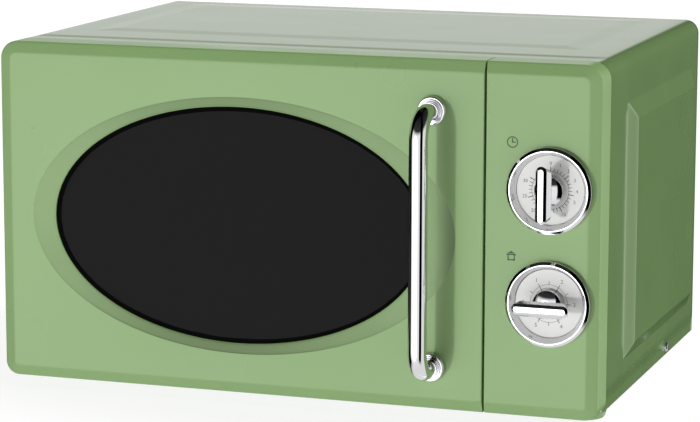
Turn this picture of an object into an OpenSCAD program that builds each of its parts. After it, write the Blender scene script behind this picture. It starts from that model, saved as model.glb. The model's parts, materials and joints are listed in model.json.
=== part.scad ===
// Countertop microwave oven with an oval window, a tube handle and two rotary controls.
// +Z is up, the front faces -Y, and the origin is at the middle of the box's base.

/* [Front] */
// Width of the front, door and control panel together
front_w = 446; // [436:1:456]
// Height of the front
front_h = 246; // [242:1:250]
// Width of the shallow bevel round the front
bevel_w = 8.4; // [6:0.2:9]
// Depth of that bevel
bevel_d = 2.5; // [1.5:0.1:3]
// Depth of the door and panel behind the bevel
door_d = 23.5; // [23:0.5:24]
// Where the door ends and the control panel begins
split_x = 141.5; // [140:0.5:143]
// Gap between the door and the panel
door_gap = 1.4; // [1:0.1:2]

/* [Cabinet] */
// Depth from the edge of the front to the back of the cover
cabinet_d = 312; // [308:1:330]
// Height of the feet
foot_h = 8; // [6:1:12]
// Thickness of the sheet steel
sheet = 1.2; // [1:0.1:1.2]
// Height of the pressing that stiffens each side
side_press = 4.5; // [2:0.5:6]
// Height of the pressing that stiffens the top
top_press = 2.5; // [1:0.5:4]

/* [Window] */
// Half the width of the oval window
window_a = 141.5; // [130:0.5:142]
// Half the height of the oval window
window_b = 85; // [75:0.5:86]
// Half the width of the dished border
dish_a = 159.4; // [155:0.1:160]
// Half the height of the dished border
dish_b = 92; // [90:0.5:93]

/* [Handle] */
// Distance between the two ends of the handle
handle_span = 180; // [170:1:184]
// Diameter of the handle's tube
handle_dia = 13; // [11:0.5:14]
// How far the tube's middle stands off the door
handle_off = 32.5; // [30:0.5:40]
// Radius of the handle's bends
handle_bend = 18; // [15:0.5:20]

/* [Controls] */
// Radius of the dial's ring
ring_r = 29.1; // [27:0.1:29.2]
// Height of the dial's ring
ring_h = 9; // [6:0.5:10]
// Length of a knob's blade
blade_len = 40.5; // [36:0.5:42]
// Width of a knob's blade
blade_w = 7.6; // [6:0.2:9]
// How far a knob's blade stands off the panel
blade_reach = 26; // [22:0.5:28]

/* [Turntable] */
// Diameter of the glass turntable
plate_dia = 245; // [240:1:250]
// Radius of a roller
roller_r = 7.85; // [7.7:0.05:7.9]

/* [Hidden] */
$fn = 64;

// Depths: each is a Y in the part's frame
screw_head = 2.5;
handle_reach = handle_off + handle_dia / 2;
overall_d = handle_reach + bevel_d + cabinet_d + screw_head;
y_edge = -overall_d / 2 + handle_reach + bevel_d;
y_flat = y_edge - bevel_d;
y_rear = y_edge + door_d;
y_back = y_edge + cabinet_d;

// Heights and half widths of the front and the cover
z_low = foot_h;
z_top = z_low + front_h;
x_side = front_w / 2;
r_top = 13;
r_low = 10;
wall = 2.5;
skin = 3;
cover_x = x_side - 1.5;
cover_z = z_top - 0.5;
cover_low = z_low + 1;
cover_r = 10;
door_x1 = split_x - door_gap / 2;
panel_x0 = split_x + door_gap / 2;

// The oven's cavity: inside faces
cavity_x0 = -195.5;
cavity_x1 = 118.5;
cavity_z0 = 29;
cavity_z1 = 229;
plate_y = y_edge + 24.5;
cavity_y0 = plate_y + sheet;
cavity_y1 = cavity_y0 + 278;
axis_x = (cavity_x0 + cavity_x1) / 2;
axis_y = y_edge + 165;

window_x = -39.9;
window_z = 129;
handle_x = 104;
handle_zs = [window_z - 0.5 - handle_span / 2, window_z - 0.5 + handle_span / 2];
knob_x = 188;
timer_z = 167.5;
power_z = 89;
knob_zs = [timer_z, power_z];

// The door turns about this upright line
hinge_r = 6;
hinge_x = -x_side + hinge_r;
hinge_y = y_rear - hinge_r;
hinge_zs = [20.5, 241.5];

// The door's steel inner frame
frame_x0 = -209;
frame_x1 = 124;
frame_z0 = 20;
frame_z1 = 238;
choke_w = 15;

latch_x0 = 127;
latch_x1 = 131;
hook_zs = [64, 184];

roller_track = 98;
shaft_r = 3;

steel = "lightgray";
green = [0.60, 0.71, 0.54];

// ---- Helpers ----

// Box between two corners
module block(lo, hi) {
    translate(lo) cube(hi - lo);
}

// Cylinder along Y between two depths
module rod_y(r, x, z, y0, y1) {
    translate([x, y0, z]) rotate([-90, 0, 0]) cylinder(r = r, h = y1 - y0);
}

// Cylinder along X
module rod_x(r, y, z, x0, x1) {
    translate([x0, y, z]) rotate([0, 90, 0]) cylinder(r = r, h = x1 - x0);
}

// A shape drawn in X and Z, from one depth to another
module slab_y(y0, y1) {
    translate([0, y1, 0]) rotate([90, 0, 0]) linear_extrude(y1 - y0) children();
}

// A profile of radius and height turned about an axis along -Y from the front of the door
module turned_y(x, z) {
    translate([x, y_flat, z]) rotate([90, 0, 0]) rotate_extrude($fn = 96) children();
}

function arc(cx, cz, r, a0, a1, n = 8) =
    [for (i = [0 : n]) let (a = a0 + (a1 - a0) * i / n) [cx + r * cos(a), cz + r * sin(a)]];

function oval(cx, cz, a, b, n = 96) =
    [for (i = [0 : n - 1]) [cx + a * cos(360 * i / n), cz + b * sin(360 * i / n)]];

// Outline of the front between two X values; an end that isn't the split is rounded
function front_outline(x0, x1, inset) =
    let (z0 = z_low + inset, z1 = z_top - inset)
    concat(
        x0 < 0 ? concat(arc(x0 + r_top, z_top - r_top, r_top - inset, 90, 180),
                        arc(x0 + r_low, z_low + r_low, r_low - inset, 180, 270))
               : [[x0, z1], [x0, z0]],
        x1 > split_x ? concat(arc(x1 - r_low, z_low + r_low, r_low - inset, -90, 0),
                              arc(x1 - r_top, z_top - r_top, r_top - inset, 0, 90))
                     : [[x1, z0], [x1, z1]]);

function at_y(points, y) = [for (p = points) [p[0], y, p[1]]];

function box_outline(x0, x1, z0, z1) = [[x0, z1], [x0, z0], [x1, z0], [x1, z1]];

// Solid between rings of points that run anticlockwise seen from the front, front ring first
module loft(rings) {
    n = len(rings[0]);
    last = (len(rings) - 1) * n;
    polyhedron(
        points = [for (ring = rings) each ring],
        faces = concat(
            [[for (i = [n - 1 : -1 : 0]) i]],
            [[for (i = [0 : n - 1]) last + i]],
            [for (k = [0 : len(rings) - 2], i = [0 : n - 1])
                let (a = k * n, j = (i + 1) % n) [a + i, a + j, a + n + j]],
            [for (k = [0 : len(rings) - 2], i = [0 : n - 1])
                let (a = k * n, j = (i + 1) % n) [a + i, a + n + j, a + n + i]]));
}

// Bevelled, hollow shell that the door and the panel share; it is open at the back
module front_shell(x0, x1, left_wall, right_wall) {
    difference() {
        loft([at_y(front_outline(x0, x1, bevel_w), y_flat),
              at_y(front_outline(x0, x1, 0), y_edge),
              at_y(front_outline(x0, x1, 0), y_rear)]);
        intersection() {
            slab_y(y_flat + skin, y_rear + 1) polygon(front_outline(x0, x1, wall));
            block([x0 + left_wall, y_flat, z_low], [x1 - right_wall, y_rear + 2, z_top]);
        }
    }
}

// ---- Cabinet ----

function cover_outline(inset) =
    let (x = cover_x - inset, z = cover_z - inset, r = cover_r - inset)
    concat(arc(-x + r, z - r, r, 180, 90), arc(x - r, z - r, r, 90, 0));

// Raised pressing: a low pyramid on a side wall, with its foot and its flat top
module side_pressing(x, rise, grow) {
    foot = box_outline(fy_press[0] - grow, fy_press[1] + grow, z_press[0] - grow, z_press[1] + grow);
    crown = box_outline(fy_press[0] + 15 - grow, fy_press[1] - 10 + grow,
                        z_press[0] + 10 - grow, z_press[1] - 10 + grow);
    hull() {
        translate([x - 0.2, 0, 0]) upright_sheet(foot);
        translate([x + rise - 0.2, 0, 0]) upright_sheet(crown);
    }
}

fy_press = [y_edge + 79, y_edge + 290];
z_press = [35, 219];

module upright_sheet(outline) {
    rotate([90, 0, 90]) linear_extrude(0.2) polygon(outline);
}

module top_pressing(z, rise, grow) {
    hull() {
        block([-190 - grow, y_edge + 88 - grow, z - 0.2], [185 + grow, y_edge + 296 + grow, z]);
        block([-184 - grow, y_edge + 94 - grow, z + rise - 0.2],
              [179 + grow, y_edge + 290 + grow, z + rise]);
    }
}

module outer_cover() {
    y0 = y_rear + 0.9;
    color(green) difference() {
        union() {
            slab_y(y0, y_back) polygon(concat([[-cover_x, cover_low]], cover_outline(0),
                [[cover_x, cover_low], [cover_x - sheet, cover_low]],
                reversed(cover_outline(sheet)), [[-cover_x + sheet, cover_low]]));
            slab_y(y_back - sheet, y_back) difference() {
                polygon(concat([[-cover_x, cover_low]], cover_outline(0), [[cover_x, cover_low]]));
                polygon(box_outline(-cover_x + 12, cover_x - 12, 0, cover_z - 12));
            }
            side_pressing(cover_x, side_press, 0);
            mirror([1, 0, 0]) side_pressing(cover_x, side_press, 0);
            top_pressing(cover_z, top_press, 0);
        }
        side_pressing(cover_x - sheet, side_press, 0);
        mirror([1, 0, 0]) side_pressing(cover_x - sheet, side_press, 0);
        top_pressing(cover_z - sheet, top_press, 0);
        for (p = rear_screws) rod_y(1.7, p[0], p[1], y_back - 2, y_back + 1);
        for (s = [-1, 1]) rod_x(1.7, side_screw_y, side_screw_z, s * cover_x - 2, s * cover_x + 2);
    }
}

function reversed(list) = [for (i = [len(list) - 1 : -1 : 0]) list[i]];

rear_screws = [[-150, cover_z - 6], [0, cover_z - 6], [150, cover_z - 6],
               [-cover_x + 6, 90], [cover_x - 6, 90]];
side_screw_y = y_edge + 218;
side_screw_z = 15;

module screw_y(x, z, y_head, length) {
    translate([x, y_head, z]) rotate([90, 0, 0]) {
        translate([0, 0, -screw_head]) cylinder(r1 = 3.2, r2 = 3.6, h = screw_head - 1);
        translate([0, 0, -1]) cylinder(r = 3.6, h = 1);
        cylinder(r = 1.6, h = length);
    }
}

module cover_screws() {
    color("silver") {
        for (p = rear_screws) screw_y(p[0], p[1], y_back, 6);
        for (s = [-1, 1]) translate([s * cover_x, side_screw_y, side_screw_z]) rotate([0, s * 90, 0]) {
            cylinder(r = 3.6, h = 1);
            translate([0, 0, 1]) cylinder(r1 = 3.6, r2 = 3.2, h = 1);
            translate([0, 0, -6]) cylinder(r = 1.6, h = 6);
        }
    }
}

module base_plate() {
    x = cover_x - sheet - 0.3;
    y0 = plate_y + sheet + 0.2;
    y1 = y_back - 2 * sheet - 0.2;
    color(steel) difference() {
        union() {
            block([-x, y0, cover_low], [x, y1, cover_low + sheet]);
            for (s = [-1, 1]) block([min(s * x, s * (x - sheet)), y0 + 3, cover_low + sheet],
                                    [max(s * x, s * (x - sheet)), y1, cover_low + 13]);
        }
        for (i = [0 : 8]) block([130 + i * 9, y_edge + 200, cover_low - 1],
                                [134 + i * 9, y_edge + 250, cover_low + 2]);
        for (s = [-1, 1]) rod_x(1.7, side_screw_y, side_screw_z, s * x - 3, s * x + 3);
        for (p = foot_places) translate([p[0], p[1], cover_low - 1]) cylinder(r = 3.1, h = 4);
    }
}

foot_places = [[-201, y_edge + 47], [201, y_edge + 47], [-190, y_edge + 270], [190, y_edge + 270]];

module foot(p, r_floor, r_base) {
    translate([p[0], p[1], 0]) {
        cylinder(r1 = r_floor, r2 = r_base, h = cover_low);
        translate([0, 0, cover_low]) cylinder(r = 3, h = 3);
    }
}

module front_feet() {
    color(green * 0.6) for (i = [0, 1]) foot(foot_places[i], 15, 17.5);
}

module rear_feet() {
    color("dimgray") for (i = [2, 3]) foot(foot_places[i], 10, 12);
}

module rear_panel() {
    x = cover_x - sheet - 0.3;
    y0 = y_back - 2 * sheet;
    color(steel) difference() {
        slab_y(y0, y0 + sheet) polygon(concat(
            [[x, cover_low + 1.4], [-x, cover_low + 1.4]],
            arc(-x + 9, cover_z - sheet - 9.3, 9, 180, 90), arc(x - 9, cover_z - sheet - 9.3, 9, 90, 0)));
        for (i = [0 : 9]) block([132, y0 - 1, 148 + i * 8], [208, y0 + 2, 152 + i * 8]);
        for (i = [0 : 6], j = [0 : 3]) block([-180 + j * 34, y0 - 1, 190 + i * 6],
                                             [-152 + j * 34, y0 + 2, 193 + i * 6]);
        for (p = rear_screws) rod_y(1.7, p[0], p[1], y0 - 1, y0 + 2);
        rod_y(9.05, cord_x, cord_z, y0 - 1, y0 + 2);
    }
}

cord_x = 185;
cord_z = 60;
cord_r = 3.7;

module cord_bush() {
    y = y_back - 2 * sheet;
    color("black") difference() {
        union() {
            rod_y(9, cord_x, cord_z, y, y + sheet);
            rod_y(11.5, cord_x, cord_z, y + sheet, y + sheet + 3);
            rod_y(11.5, cord_x, cord_z, y - 9, y);
        }
        rod_y(cord_r, cord_x, cord_z, y - 10, y + 6);
    }
}

module front_plate() {
    x = cover_x - sheet - 0.4;
    color(steel) difference() {
        slab_y(plate_y, plate_y + sheet) polygon(concat(
            [[x, cover_low + 0.4], [-x, cover_low + 0.4]],
            arc(-x + 9, cover_z - sheet - 9.4, 9, 180, 90), arc(x - 9, cover_z - sheet - 9.4, 9, 90, 0)));
        block([cavity_x0, plate_y - 1, cavity_z0], [cavity_x1, plate_y + 3, cavity_z1]);
        block([157, plate_y - 1, 55], [217, plate_y + 3, 202]);
        for (z = hook_zs) block([latch_x0 - 2, plate_y - 1, z - 4], [latch_x1 + 2, plate_y + 3, z + 18]);
        for (z = hinge_zs) block([hinge_x - 4.2, plate_y - 1, z - 1.3], [hinge_x + 13, plate_y + 3, z + 1.3]);
    }
}

module cavity_wrap() {
    x0 = cavity_x0 - sheet;
    x1 = cavity_x1 + sheet;
    color("whitesmoke") difference() {
        block([x0, cavity_y0, cavity_z0 - sheet], [x1, cavity_y1, cavity_z1 + sheet]);
        block([cavity_x0, cavity_y0 - 1, cavity_z0 - 2], [cavity_x1, cavity_y1 + 1, cavity_z1]);
        block([cavity_x1 - 1, feed_y - 28, feed_z - 28], [x1 + 1, feed_y + 28, feed_z + 28]);
        for (i = [-2 : 2], j = [-1 : 1])
            rod_x(2, lamp_y + i * 6, lamp_z + j * 6, cavity_x1 - 1, x1 + 1);
    }
}

feed_y = y_edge + 155;
feed_z = 178;
lamp_y = y_edge + 222;
lamp_z = 205;

module cavity_floor() {
    color("whitesmoke") difference() {
        block([cavity_x0, cavity_y0, cavity_z0 - sheet], [cavity_x1, cavity_y1, cavity_z0]);
        translate([axis_x, axis_y, cavity_z0 - 3]) cylinder(r = 8, h = 6);
    }
}

module cavity_back() {
    color("whitesmoke") block([cavity_x0 - sheet, cavity_y1, cavity_z0 - sheet],
                              [cavity_x1 + sheet, cavity_y1 + sheet, cavity_z1 + sheet]);
}

// ---- Control panel ----

module control_panel() {
    color(green) difference() {
        front_shell(panel_x0, x_side, wall, wall);
        for (z = knob_zs) {
            rod_y(ring_r + 0.15, knob_x, z, y_flat - 1, y_edge - 1);
            rod_y(8, knob_x, z, y_flat - 1, y_edge + 3);
        }
    }
}

module dial_rings() {
    base = 1 - bevel_d;
    color("gainsboro") for (z = knob_zs) turned_y(knob_x, z) polygon([
        [23.3, base], [ring_r, base], [ring_r, ring_h - 2.2], [ring_r - 0.5, ring_h - 0.8],
        [ring_r - 1.3, ring_h], [ring_r - 2, ring_h - 0.3], [23.6, 2.4], [23.3, 1.6]]);
}

module dial_plates() {
    y = y_edge - 1;
    color("silver") for (z = knob_zs) difference() {
        rod_y(23.1, knob_x, z, y - 1.2, y);
        rod_y(6, knob_x, z, y - 2, y + 1);
    }
}

module knob(z, turn) {
    color("gainsboro") translate([knob_x, y_flat, z]) rotate([90, turn, 0]) difference() {
        union() {
            translate([0, 0, 2]) cylinder(r = 10.4, h = 11);
            translate([-blade_len / 2, -blade_w / 2, 5]) cube([blade_len, blade_w, blade_reach - 5]);
        }
        translate([0, 0, 1]) cylinder(r = shaft_r + 0.05, h = 12);
    }
}

module knob_shaft(z) {
    color(steel) rod_y(shaft_r, knob_x, z, y_flat - 12, y_edge + 18);
}

module rotary_unit(z, colour) {
    color(colour) difference() {
        union() {
            block([knob_x - 26, y_edge + 8, z - 27], [knob_x + 26, y_edge + 46, z + 27]);
            rod_y(6, knob_x, z, y_edge + 2, y_edge + 8);
        }
        rod_y(shaft_r + 0.1, knob_x, z, y_edge + 1, y_edge + 19);
    }
}

// ---- Hinges ----

module hinge_brackets() {
    color(steel) for (i = [0, 1]) {
        z = hinge_zs[i];
        up = i == 0 ? 1 : -1;
        block([hinge_x - 3, hinge_y, z - 1], [hinge_x + 3, plate_y + sheet + 0.3, z + 1]);
        translate([hinge_x, hinge_y, z - 1]) cylinder(r = 3, h = 2);
        translate([hinge_x, hinge_y, i == 0 ? z + 1 : z - 10]) cylinder(r = 2, h = 9);
        block([hinge_x - 2.4, plate_y + sheet + 0.3, z - (i == 0 ? 6 : 10)],
              [hinge_x + 12, plate_y + 2 * sheet + 0.3, z + (i == 0 ? 10 : 6)]);
    }
}

module door_hinge_blocks() {
    color("dimgray") for (i = [0, 1]) {
        z0 = i == 0 ? hinge_zs[0] + 1.5 : hinge_zs[1] - 13.5;
        difference() {
            block([hinge_x - 3.4, hinge_y - 6, z0], [frame_x0 - 0.1, hinge_y + 3.4, z0 + 12]);
            translate([hinge_x, hinge_y, z0 - 1]) cylinder(r = 2.05, h = 14);
        }
    }
}

// ---- Interlock ----

module interlock_bracket() {
    x0 = latch_x0 - 5;
    x1 = latch_x1 + 3;
    y0 = plate_y + sheet + 0.2;
    shelf_depth = 17;
    color("ivory") difference() {
        union() {
            block([x1, y0, 54], [x1 + 3, y0 + 32, 212]);
            for (z = hook_zs) {
                block([x0, y0, z - 9], [x1, y0 + shelf_depth, z - 6]);
                block([x0, y0, z + 20], [x1, y0 + shelf_depth, z + 23]);
            }
        }
        rod_x(2.1, lever_y, lever_z, x0 - 1, x1 + 4);
    }
}

lever_y = plate_y + 26;
lever_z = 110;

module interlock_switches() {
    x = latch_x1 + 6.2;
    y = plate_y + 5;
    color("black") for (z = [62, 96, 182]) {
        block([x, y, z], [x + 10, y + 16, z + 28]);
        block([x + 3, y + 16, z + 5], [x + 7, y + 21, z + 6]);
        block([x + 3, y + 16, z + 20], [x + 7, y + 21, z + 21]);
    }
}

module interlock_lever() {
    color("ivory") {
        rod_x(2, lever_y, lever_z, latch_x0 - 2, latch_x1 + 5.8);
        rod_x(4, lever_y, lever_z, latch_x0, latch_x1);
        block([latch_x0, lever_y - 1.5, lever_z - 40], [latch_x1, lever_y + 1.5, lever_z]);
    }
}

module latch_hook() {
    y0 = y_edge + 12;
    tip = plate_y + 18;
    color("ivory") {
        difference() {
            block([latch_x0, y0, hook_zs[0]], [latch_x1, y0 + 8, hook_zs[1] + 12]);
            block([latch_x0 - 1, y0 + 3, 120], [latch_x1 + 1, y0 + 6, 140]);
        }
        for (z = hook_zs) slab_x(latch_x0, latch_x1)
            polygon([[y0 + 8, z], [tip - 6, z], [tip - 6, z - 2.5], [tip - 1, z - 2.5], [tip, z - 1],
                     [tip, z + 3], [tip - 6, z + 12], [y0 + 8, z + 12]]);
    }
}

// A shape drawn in Y and Z, from one X to another
module slab_x(x0, x1) {
    translate([x0, 0, 0]) rotate([90, 0, 90]) linear_extrude(x1 - x0) children();
}

module latch_spring() {
    turns = 7;
    color("silver") for (i = [0 : turns - 1])
        translate([(latch_x0 + latch_x1) / 2, y_edge + 7, 122 + i * 2.6])
            rotate_extrude($fn = 32) translate([2.6, 0]) circle(r = 0.5, $fn = 16);
}

// ---- Door ----

module door_frame() {
    color(green) difference() {
        front_shell(-x_side, door_x1, wall, wall);
        loft([at_y(oval(axis_x, window_z, dish_a + 2.2, dish_b + 1, 96), y_flat - 0.3),
              at_y(oval(window_x, window_z, window_a, window_b, 96), y_flat + 2),
              at_y(oval(window_x, window_z, window_a, window_b, 96), y_flat + 2.3)]);
        slab_y(y_flat + 2.2, y_edge + 2) polygon(oval(window_x, window_z, window_a, window_b, 96));
        for (z = handle_zs) rod_y(2.4, handle_x, z, y_flat - 1, y_edge + 2);
        difference() {
            block([-x_side - 1, hinge_y, 0], [hinge_x, y_rear + 1, z_top + 1]);
            translate([hinge_x, hinge_y, 0]) cylinder(r = hinge_r, h = z_top + 1);
        }
        for (z = hinge_zs) block([-x_side - 1, hinge_y - 4, z - 2], [hinge_x + 1, y_rear + 1, z + 2]);
    }
}

module door_glass() {
    color([0.1, 0.1, 0.1]) slab_y(y_edge + 0.5, y_edge + 3.5)
        polygon(oval(window_x, window_z, window_a + 6, window_b + 5, 96));
}

module door_screen() {
    y0 = y_edge + 9;
    inner_x0 = frame_x0 + choke_w;
    inner_x1 = frame_x1 - choke_w;
    color(steel) {
        difference() {
            block([frame_x0, y0, frame_z0], [frame_x1, y_rear - 1.5, frame_z1]);
            block([frame_x0 + sheet, y0 + sheet, frame_z0 + sheet], [frame_x1 - sheet, y_rear, frame_z1 - sheet]);
        }
        difference() {
            block([inner_x0, y0 + sheet, frame_z0 + choke_w], [inner_x1, y_rear - 3.5, frame_z1 - choke_w]);
            block([inner_x0 + sheet, y0, frame_z0 + choke_w + sheet],
                  [inner_x1 - sheet, y_rear, frame_z1 - choke_w - sheet]);
        }
    }
}

module choke_cover() {
    gap = sheet + 0.2;
    lip = choke_w + 2.4;
    color("black") difference() {
        block([frame_x0 + gap, y_rear - 3.3, frame_z0 + gap], [frame_x1 - gap, y_rear - 1, frame_z1 - gap]);
        block([frame_x0 + lip, y_rear - 4, frame_z0 + lip], [frame_x1 - lip, y_rear + 1, frame_z1 - lip]);
    }
}

module door_film() {
    gap = choke_w + sheet + 0.2;
    color([0.9, 0.9, 0.9, 0.4]) block([frame_x0 + gap, y_edge + 10.3, frame_z0 + gap],
                                      [frame_x1 - gap, y_edge + 11, frame_z1 - gap]);
}

module handle() {
    r = handle_dia / 2;
    y = y_flat - handle_off;
    z0 = handle_zs[0] + handle_bend;
    z1 = handle_zs[1] - handle_bend;
    color("gainsboro") difference() {
        union() {
            translate([handle_x, y, z0]) cylinder(r = r, h = z1 - z0);
            for (z = handle_zs) rod_y(r, handle_x, z, y + handle_bend, y_flat);
            translate([handle_x, y + handle_bend, z1]) tube_bend(r);
            translate([handle_x, y + handle_bend, z0]) mirror([0, 0, 1]) tube_bend(r);
        }
        for (z = handle_zs) rod_y(2.25, handle_x, z, y_flat - 12, y_flat + 1);
    }
}

module tube_bend(r) {
    rotate([90, 0, -90]) rotate_extrude(angle = 90, $fn = 96) translate([handle_bend, 0]) circle(r = r);
}

module handle_rosettes() {
    inner = handle_dia / 2 + 0.05;
    color("gainsboro") for (z = handle_zs) turned_y(handle_x, z) polygon([
        [inner, 0], [10.5, 0], [10.5, 1.4], [10.1, 2.4], [9.3, 3.1], [8.6, 3.3], [8.5, 4.1], [7.9, 4.8],
        [inner, 5]]);
}

module handle_screws() {
    color("silver") for (z = handle_zs) {
        rod_y(2.2, handle_x, z, y_flat - 11, y_edge + 0.5);
        rod_y(4.5, handle_x, z, y_edge + 0.5, y_edge + 3.5);
    }
}

// ---- Power parts ----

module waveguide() {
    x0 = cavity_x1 + sheet;
    color(steel) difference() {
        block([x0, feed_y - 40, feed_z - 38], [x0 + 24, feed_y + 40, feed_z + 42]);
        block([x0 - 1, feed_y - 38.8, feed_z - 36.8], [x0 + 22.8, feed_y + 38.8, feed_z + 40.8]);
        rod_x(13, feed_y, feed_z + 12, x0 + 20, x0 + 26);
    }
}

module waveguide_cover() {
    color("tan") block([cavity_x1 - 0.6, feed_y - 36, feed_z - 34], [cavity_x1, feed_y + 36, feed_z + 34]);
}

tube_x0 = cavity_x1 + sheet + 24;
tube_z = feed_z + 12;

module magnetron() {
    color("silver") {
        difference() {
            block([tube_x0 + 3, feed_y - 42, tube_z - 34], [tube_x0 + 48, feed_y + 42, tube_z + 34]);
            block([tube_x0 + 5, feed_y - 40, tube_z - 35], [tube_x0 + 46, feed_y + 40, tube_z + 35]);
        }
        rod_x(12, feed_y, tube_z, tube_x0, tube_x0 + 3);
        rod_x(8, feed_y, tube_z, tube_x0 - 19, tube_x0);
        rod_x(19, feed_y, tube_z, tube_x0 + 5, tube_x0 + 46);
    }
}

module magnetron_fins() {
    color("gainsboro") for (i = [0 : 5]) difference() {
        x = tube_x0 + 8 + i * 7;
        block([x, feed_y - 39.8, tube_z - 33], [x + 0.8, feed_y + 39.8, tube_z + 33]);
        rod_x(19.1, feed_y, tube_z, x - 1, x + 2);
    }
}

module magnetron_filter_box() {
    color("lightgray") {
        block([tube_x0 + 48.2, feed_y - 28, tube_z - 24], [tube_x0 + 68, feed_y + 28, tube_z + 24]);
        block([tube_x0 + 52, feed_y - 36, tube_z - 8], [tube_x0 + 64, feed_y - 28, tube_z + 8]);
    }
}

core_y = y_edge + 100;
core_x = 166;
deck = cover_low + sheet;

module transformer_core() {
    color("dimgray") {
        difference() {
            block([core_x - 42, core_y - 30, deck], [core_x + 42, core_y + 30, deck + 70]);
            for (s = [-1, 1]) block([core_x + s * 20 - 8, core_y - 31, deck + 14],
                                    [core_x + s * 20 + 8, core_y + 31, deck + 56]);
        }
    }
}

module transformer_windings() {
    color("peru") for (z = [deck + 15, deck + 38]) difference() {
        block([core_x - 27.5, core_y - 44, z], [core_x + 27.5, core_y + 44, z + 17]);
        block([core_x - 12.2, core_y - 30.2, z - 1], [core_x + 12.2, core_y + 30.2, z + 18]);
    }
}

can_x = 157;
can_y = y_edge + 225;

module capacitor() {
    color("silver") {
        block([can_x - 16, can_y - 15, deck + 3], [can_x + 16, can_y + 15, deck + 78]);
        for (s = [-1, 1]) translate([can_x + s * 16, can_y, deck + 3]) cylinder(r = 15, h = 75);
        for (s = [-1, 1]) block([can_x + s * 9 - 3, can_y - 0.4, deck + 78],
                                [can_x + s * 9 + 3, can_y + 0.4, deck + 88]);
    }
}

module capacitor_clamp() {
    color(steel) difference() {
        union() {
            block([can_x - 16, can_y - 16.4, deck + 30], [can_x + 16, can_y + 16.4, deck + 40]);
            for (s = [-1, 1]) translate([can_x + s * 16, can_y, deck + 30]) cylinder(r = 16.4, h = 10);
            block([can_x - 3, can_y + 16, deck], [can_x + 3, can_y + 18, deck + 40]);
        }
        block([can_x - 16, can_y - 15.2, deck + 29], [can_x + 16, can_y + 15.2, deck + 41]);
        for (s = [-1, 1]) translate([can_x + s * 16, can_y, deck + 29]) cylinder(r = 15.2, h = 12);
    }
}

module hv_diode() {
    color("black") rod_x(3.5, can_y - 28, deck + 50, can_x - 12, can_x + 12);
    color("black") block([can_x - 2, can_y - 29, deck], [can_x + 2, can_y - 27, deck + 48]);
}

fan_x = 170;
fan_z = 190;
fan_y = y_edge + 262;

module fan_shroud() {
    color("black") difference() {
        block([fan_x - 47, fan_y, fan_z - 47], [fan_x + 47, fan_y + 3, fan_z + 47]);
        rod_y(42, fan_x, fan_z, fan_y - 1, fan_y + 4);
    }
}

module fan_motor() {
    color("dimgray") {
        difference() {
            block([fan_x - 26, fan_y + 16, fan_z - 30], [fan_x + 26, fan_y + 34, fan_z + 24]);
            rod_y(2.1, fan_x, fan_z, fan_y + 15, fan_y + 33);
        }
        for (s = [-1, 1]) block([fan_x + s * 43 - 2, fan_y + 3, fan_z - 5], [fan_x + s * 43 + 2, fan_y + 22, fan_z + 5]);
        for (s = [-1, 1]) block([fan_x + min(s * 26, s * 41), fan_y + 20, fan_z - 5],
                                [fan_x + max(s * 26, s * 41), fan_y + 22, fan_z + 5]);
    }
}

module fan_blade() {
    color("whitesmoke") translate([fan_x, fan_y - 12, fan_z]) rotate([-90, 0, 0]) {
        cylinder(r = 10, h = 20);
        for (a = [0 : 72 : 288]) rotate(a) translate([8, -9, 4]) rotate([35, 0, 0]) cube([31, 16, 1.6]);
        translate([0, 0, 20]) cylinder(r = 2, h = 22);
    }
}

module air_duct() {
    z1 = tube_z + 40;
    color("ivory") {
        block([tube_x0 + 2, feed_y - 60, z1], [tube_x0 + 68, feed_y + 46, z1 + 1.6]);
        block([tube_x0 + 2, feed_y - 61.6, z1 - 30], [tube_x0 + 68, feed_y - 60, z1 + 1.6]);
    }
}

module lamp_socket() {
    x0 = cavity_x1 + sheet;
    color("white") {
        block([x0 + 34, lamp_y - 10, lamp_z - 12], [x0 + 48, lamp_y + 10, lamp_z + 12]);
        block([x0 + 0.2, lamp_y + 12, lamp_z - 8], [x0 + 48, lamp_y + 14, lamp_z + 8]);
        block([x0 + 40, lamp_y + 10, lamp_z - 8], [x0 + 48, lamp_y + 12, lamp_z + 8]);
    }
}

module lamp_bulb() {
    x0 = cavity_x1 + sheet + 8;
    color([1, 1, 0.9, 0.5]) translate([x0, lamp_y, lamp_z]) rotate([0, 90, 0]) rotate_extrude()
        polygon(concat([[0, 0]], [for (a = [-72 : 18 : 36]) [8 * cos(a), 8 + 8 * sin(a)]],
                       [[5, 16], [5, 26], [0, 26]]));
}

module thermal_cutouts() {
    x0 = cavity_x1 + sheet;
    color("ivory") for (p = [[y_edge + 70, 210], [y_edge + 205, 130]]) {
        block([x0, p[0] - 12, p[1] - 4], [x0 + 0.8, p[0] + 12, p[1] + 4]);
        rod_x(8, p[0], p[1], x0 + 0.8, x0 + 8);
        for (s = [-1, 1]) block([x0 + 8, p[0] + s * 4 - 0.4, p[1] - 3], [x0 + 15, p[0] + s * 4 + 0.4, p[1] + 3]);
    }
}

module filter_board() {
    z = 214;
    y = y_edge + 52;
    color("darkgreen") block([135, y, z], [210, y + 40, z + 1.6]);
    color(steel) block([150, plate_y + sheet, z - 1.5], [200, y + 36, z - 0.2]);
    color("white") block([142, y + 6, z + 1.6], [160, y + 24, z + 20]);
    color("goldenrod") translate([175, y + 16, z + 1.6]) cylinder(r = 9, h = 12);
    color("white") rod_x(3, y + 33, z + 5, 165, 190);
}

// ---- Turntable ----

module turntable_motor() {
    z0 = 12;
    color("silver") translate([axis_x, axis_y, z0]) difference() {
        union() {
            cylinder(r = 24, h = 14.5);
            for (s = [-1, 1]) translate([s * 28 - 6, -5, 13.5]) cube([12, 10, 1]);
        }
        translate([0, 0, 4]) cylinder(r = 3.6, h = 20);
    }
}

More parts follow.
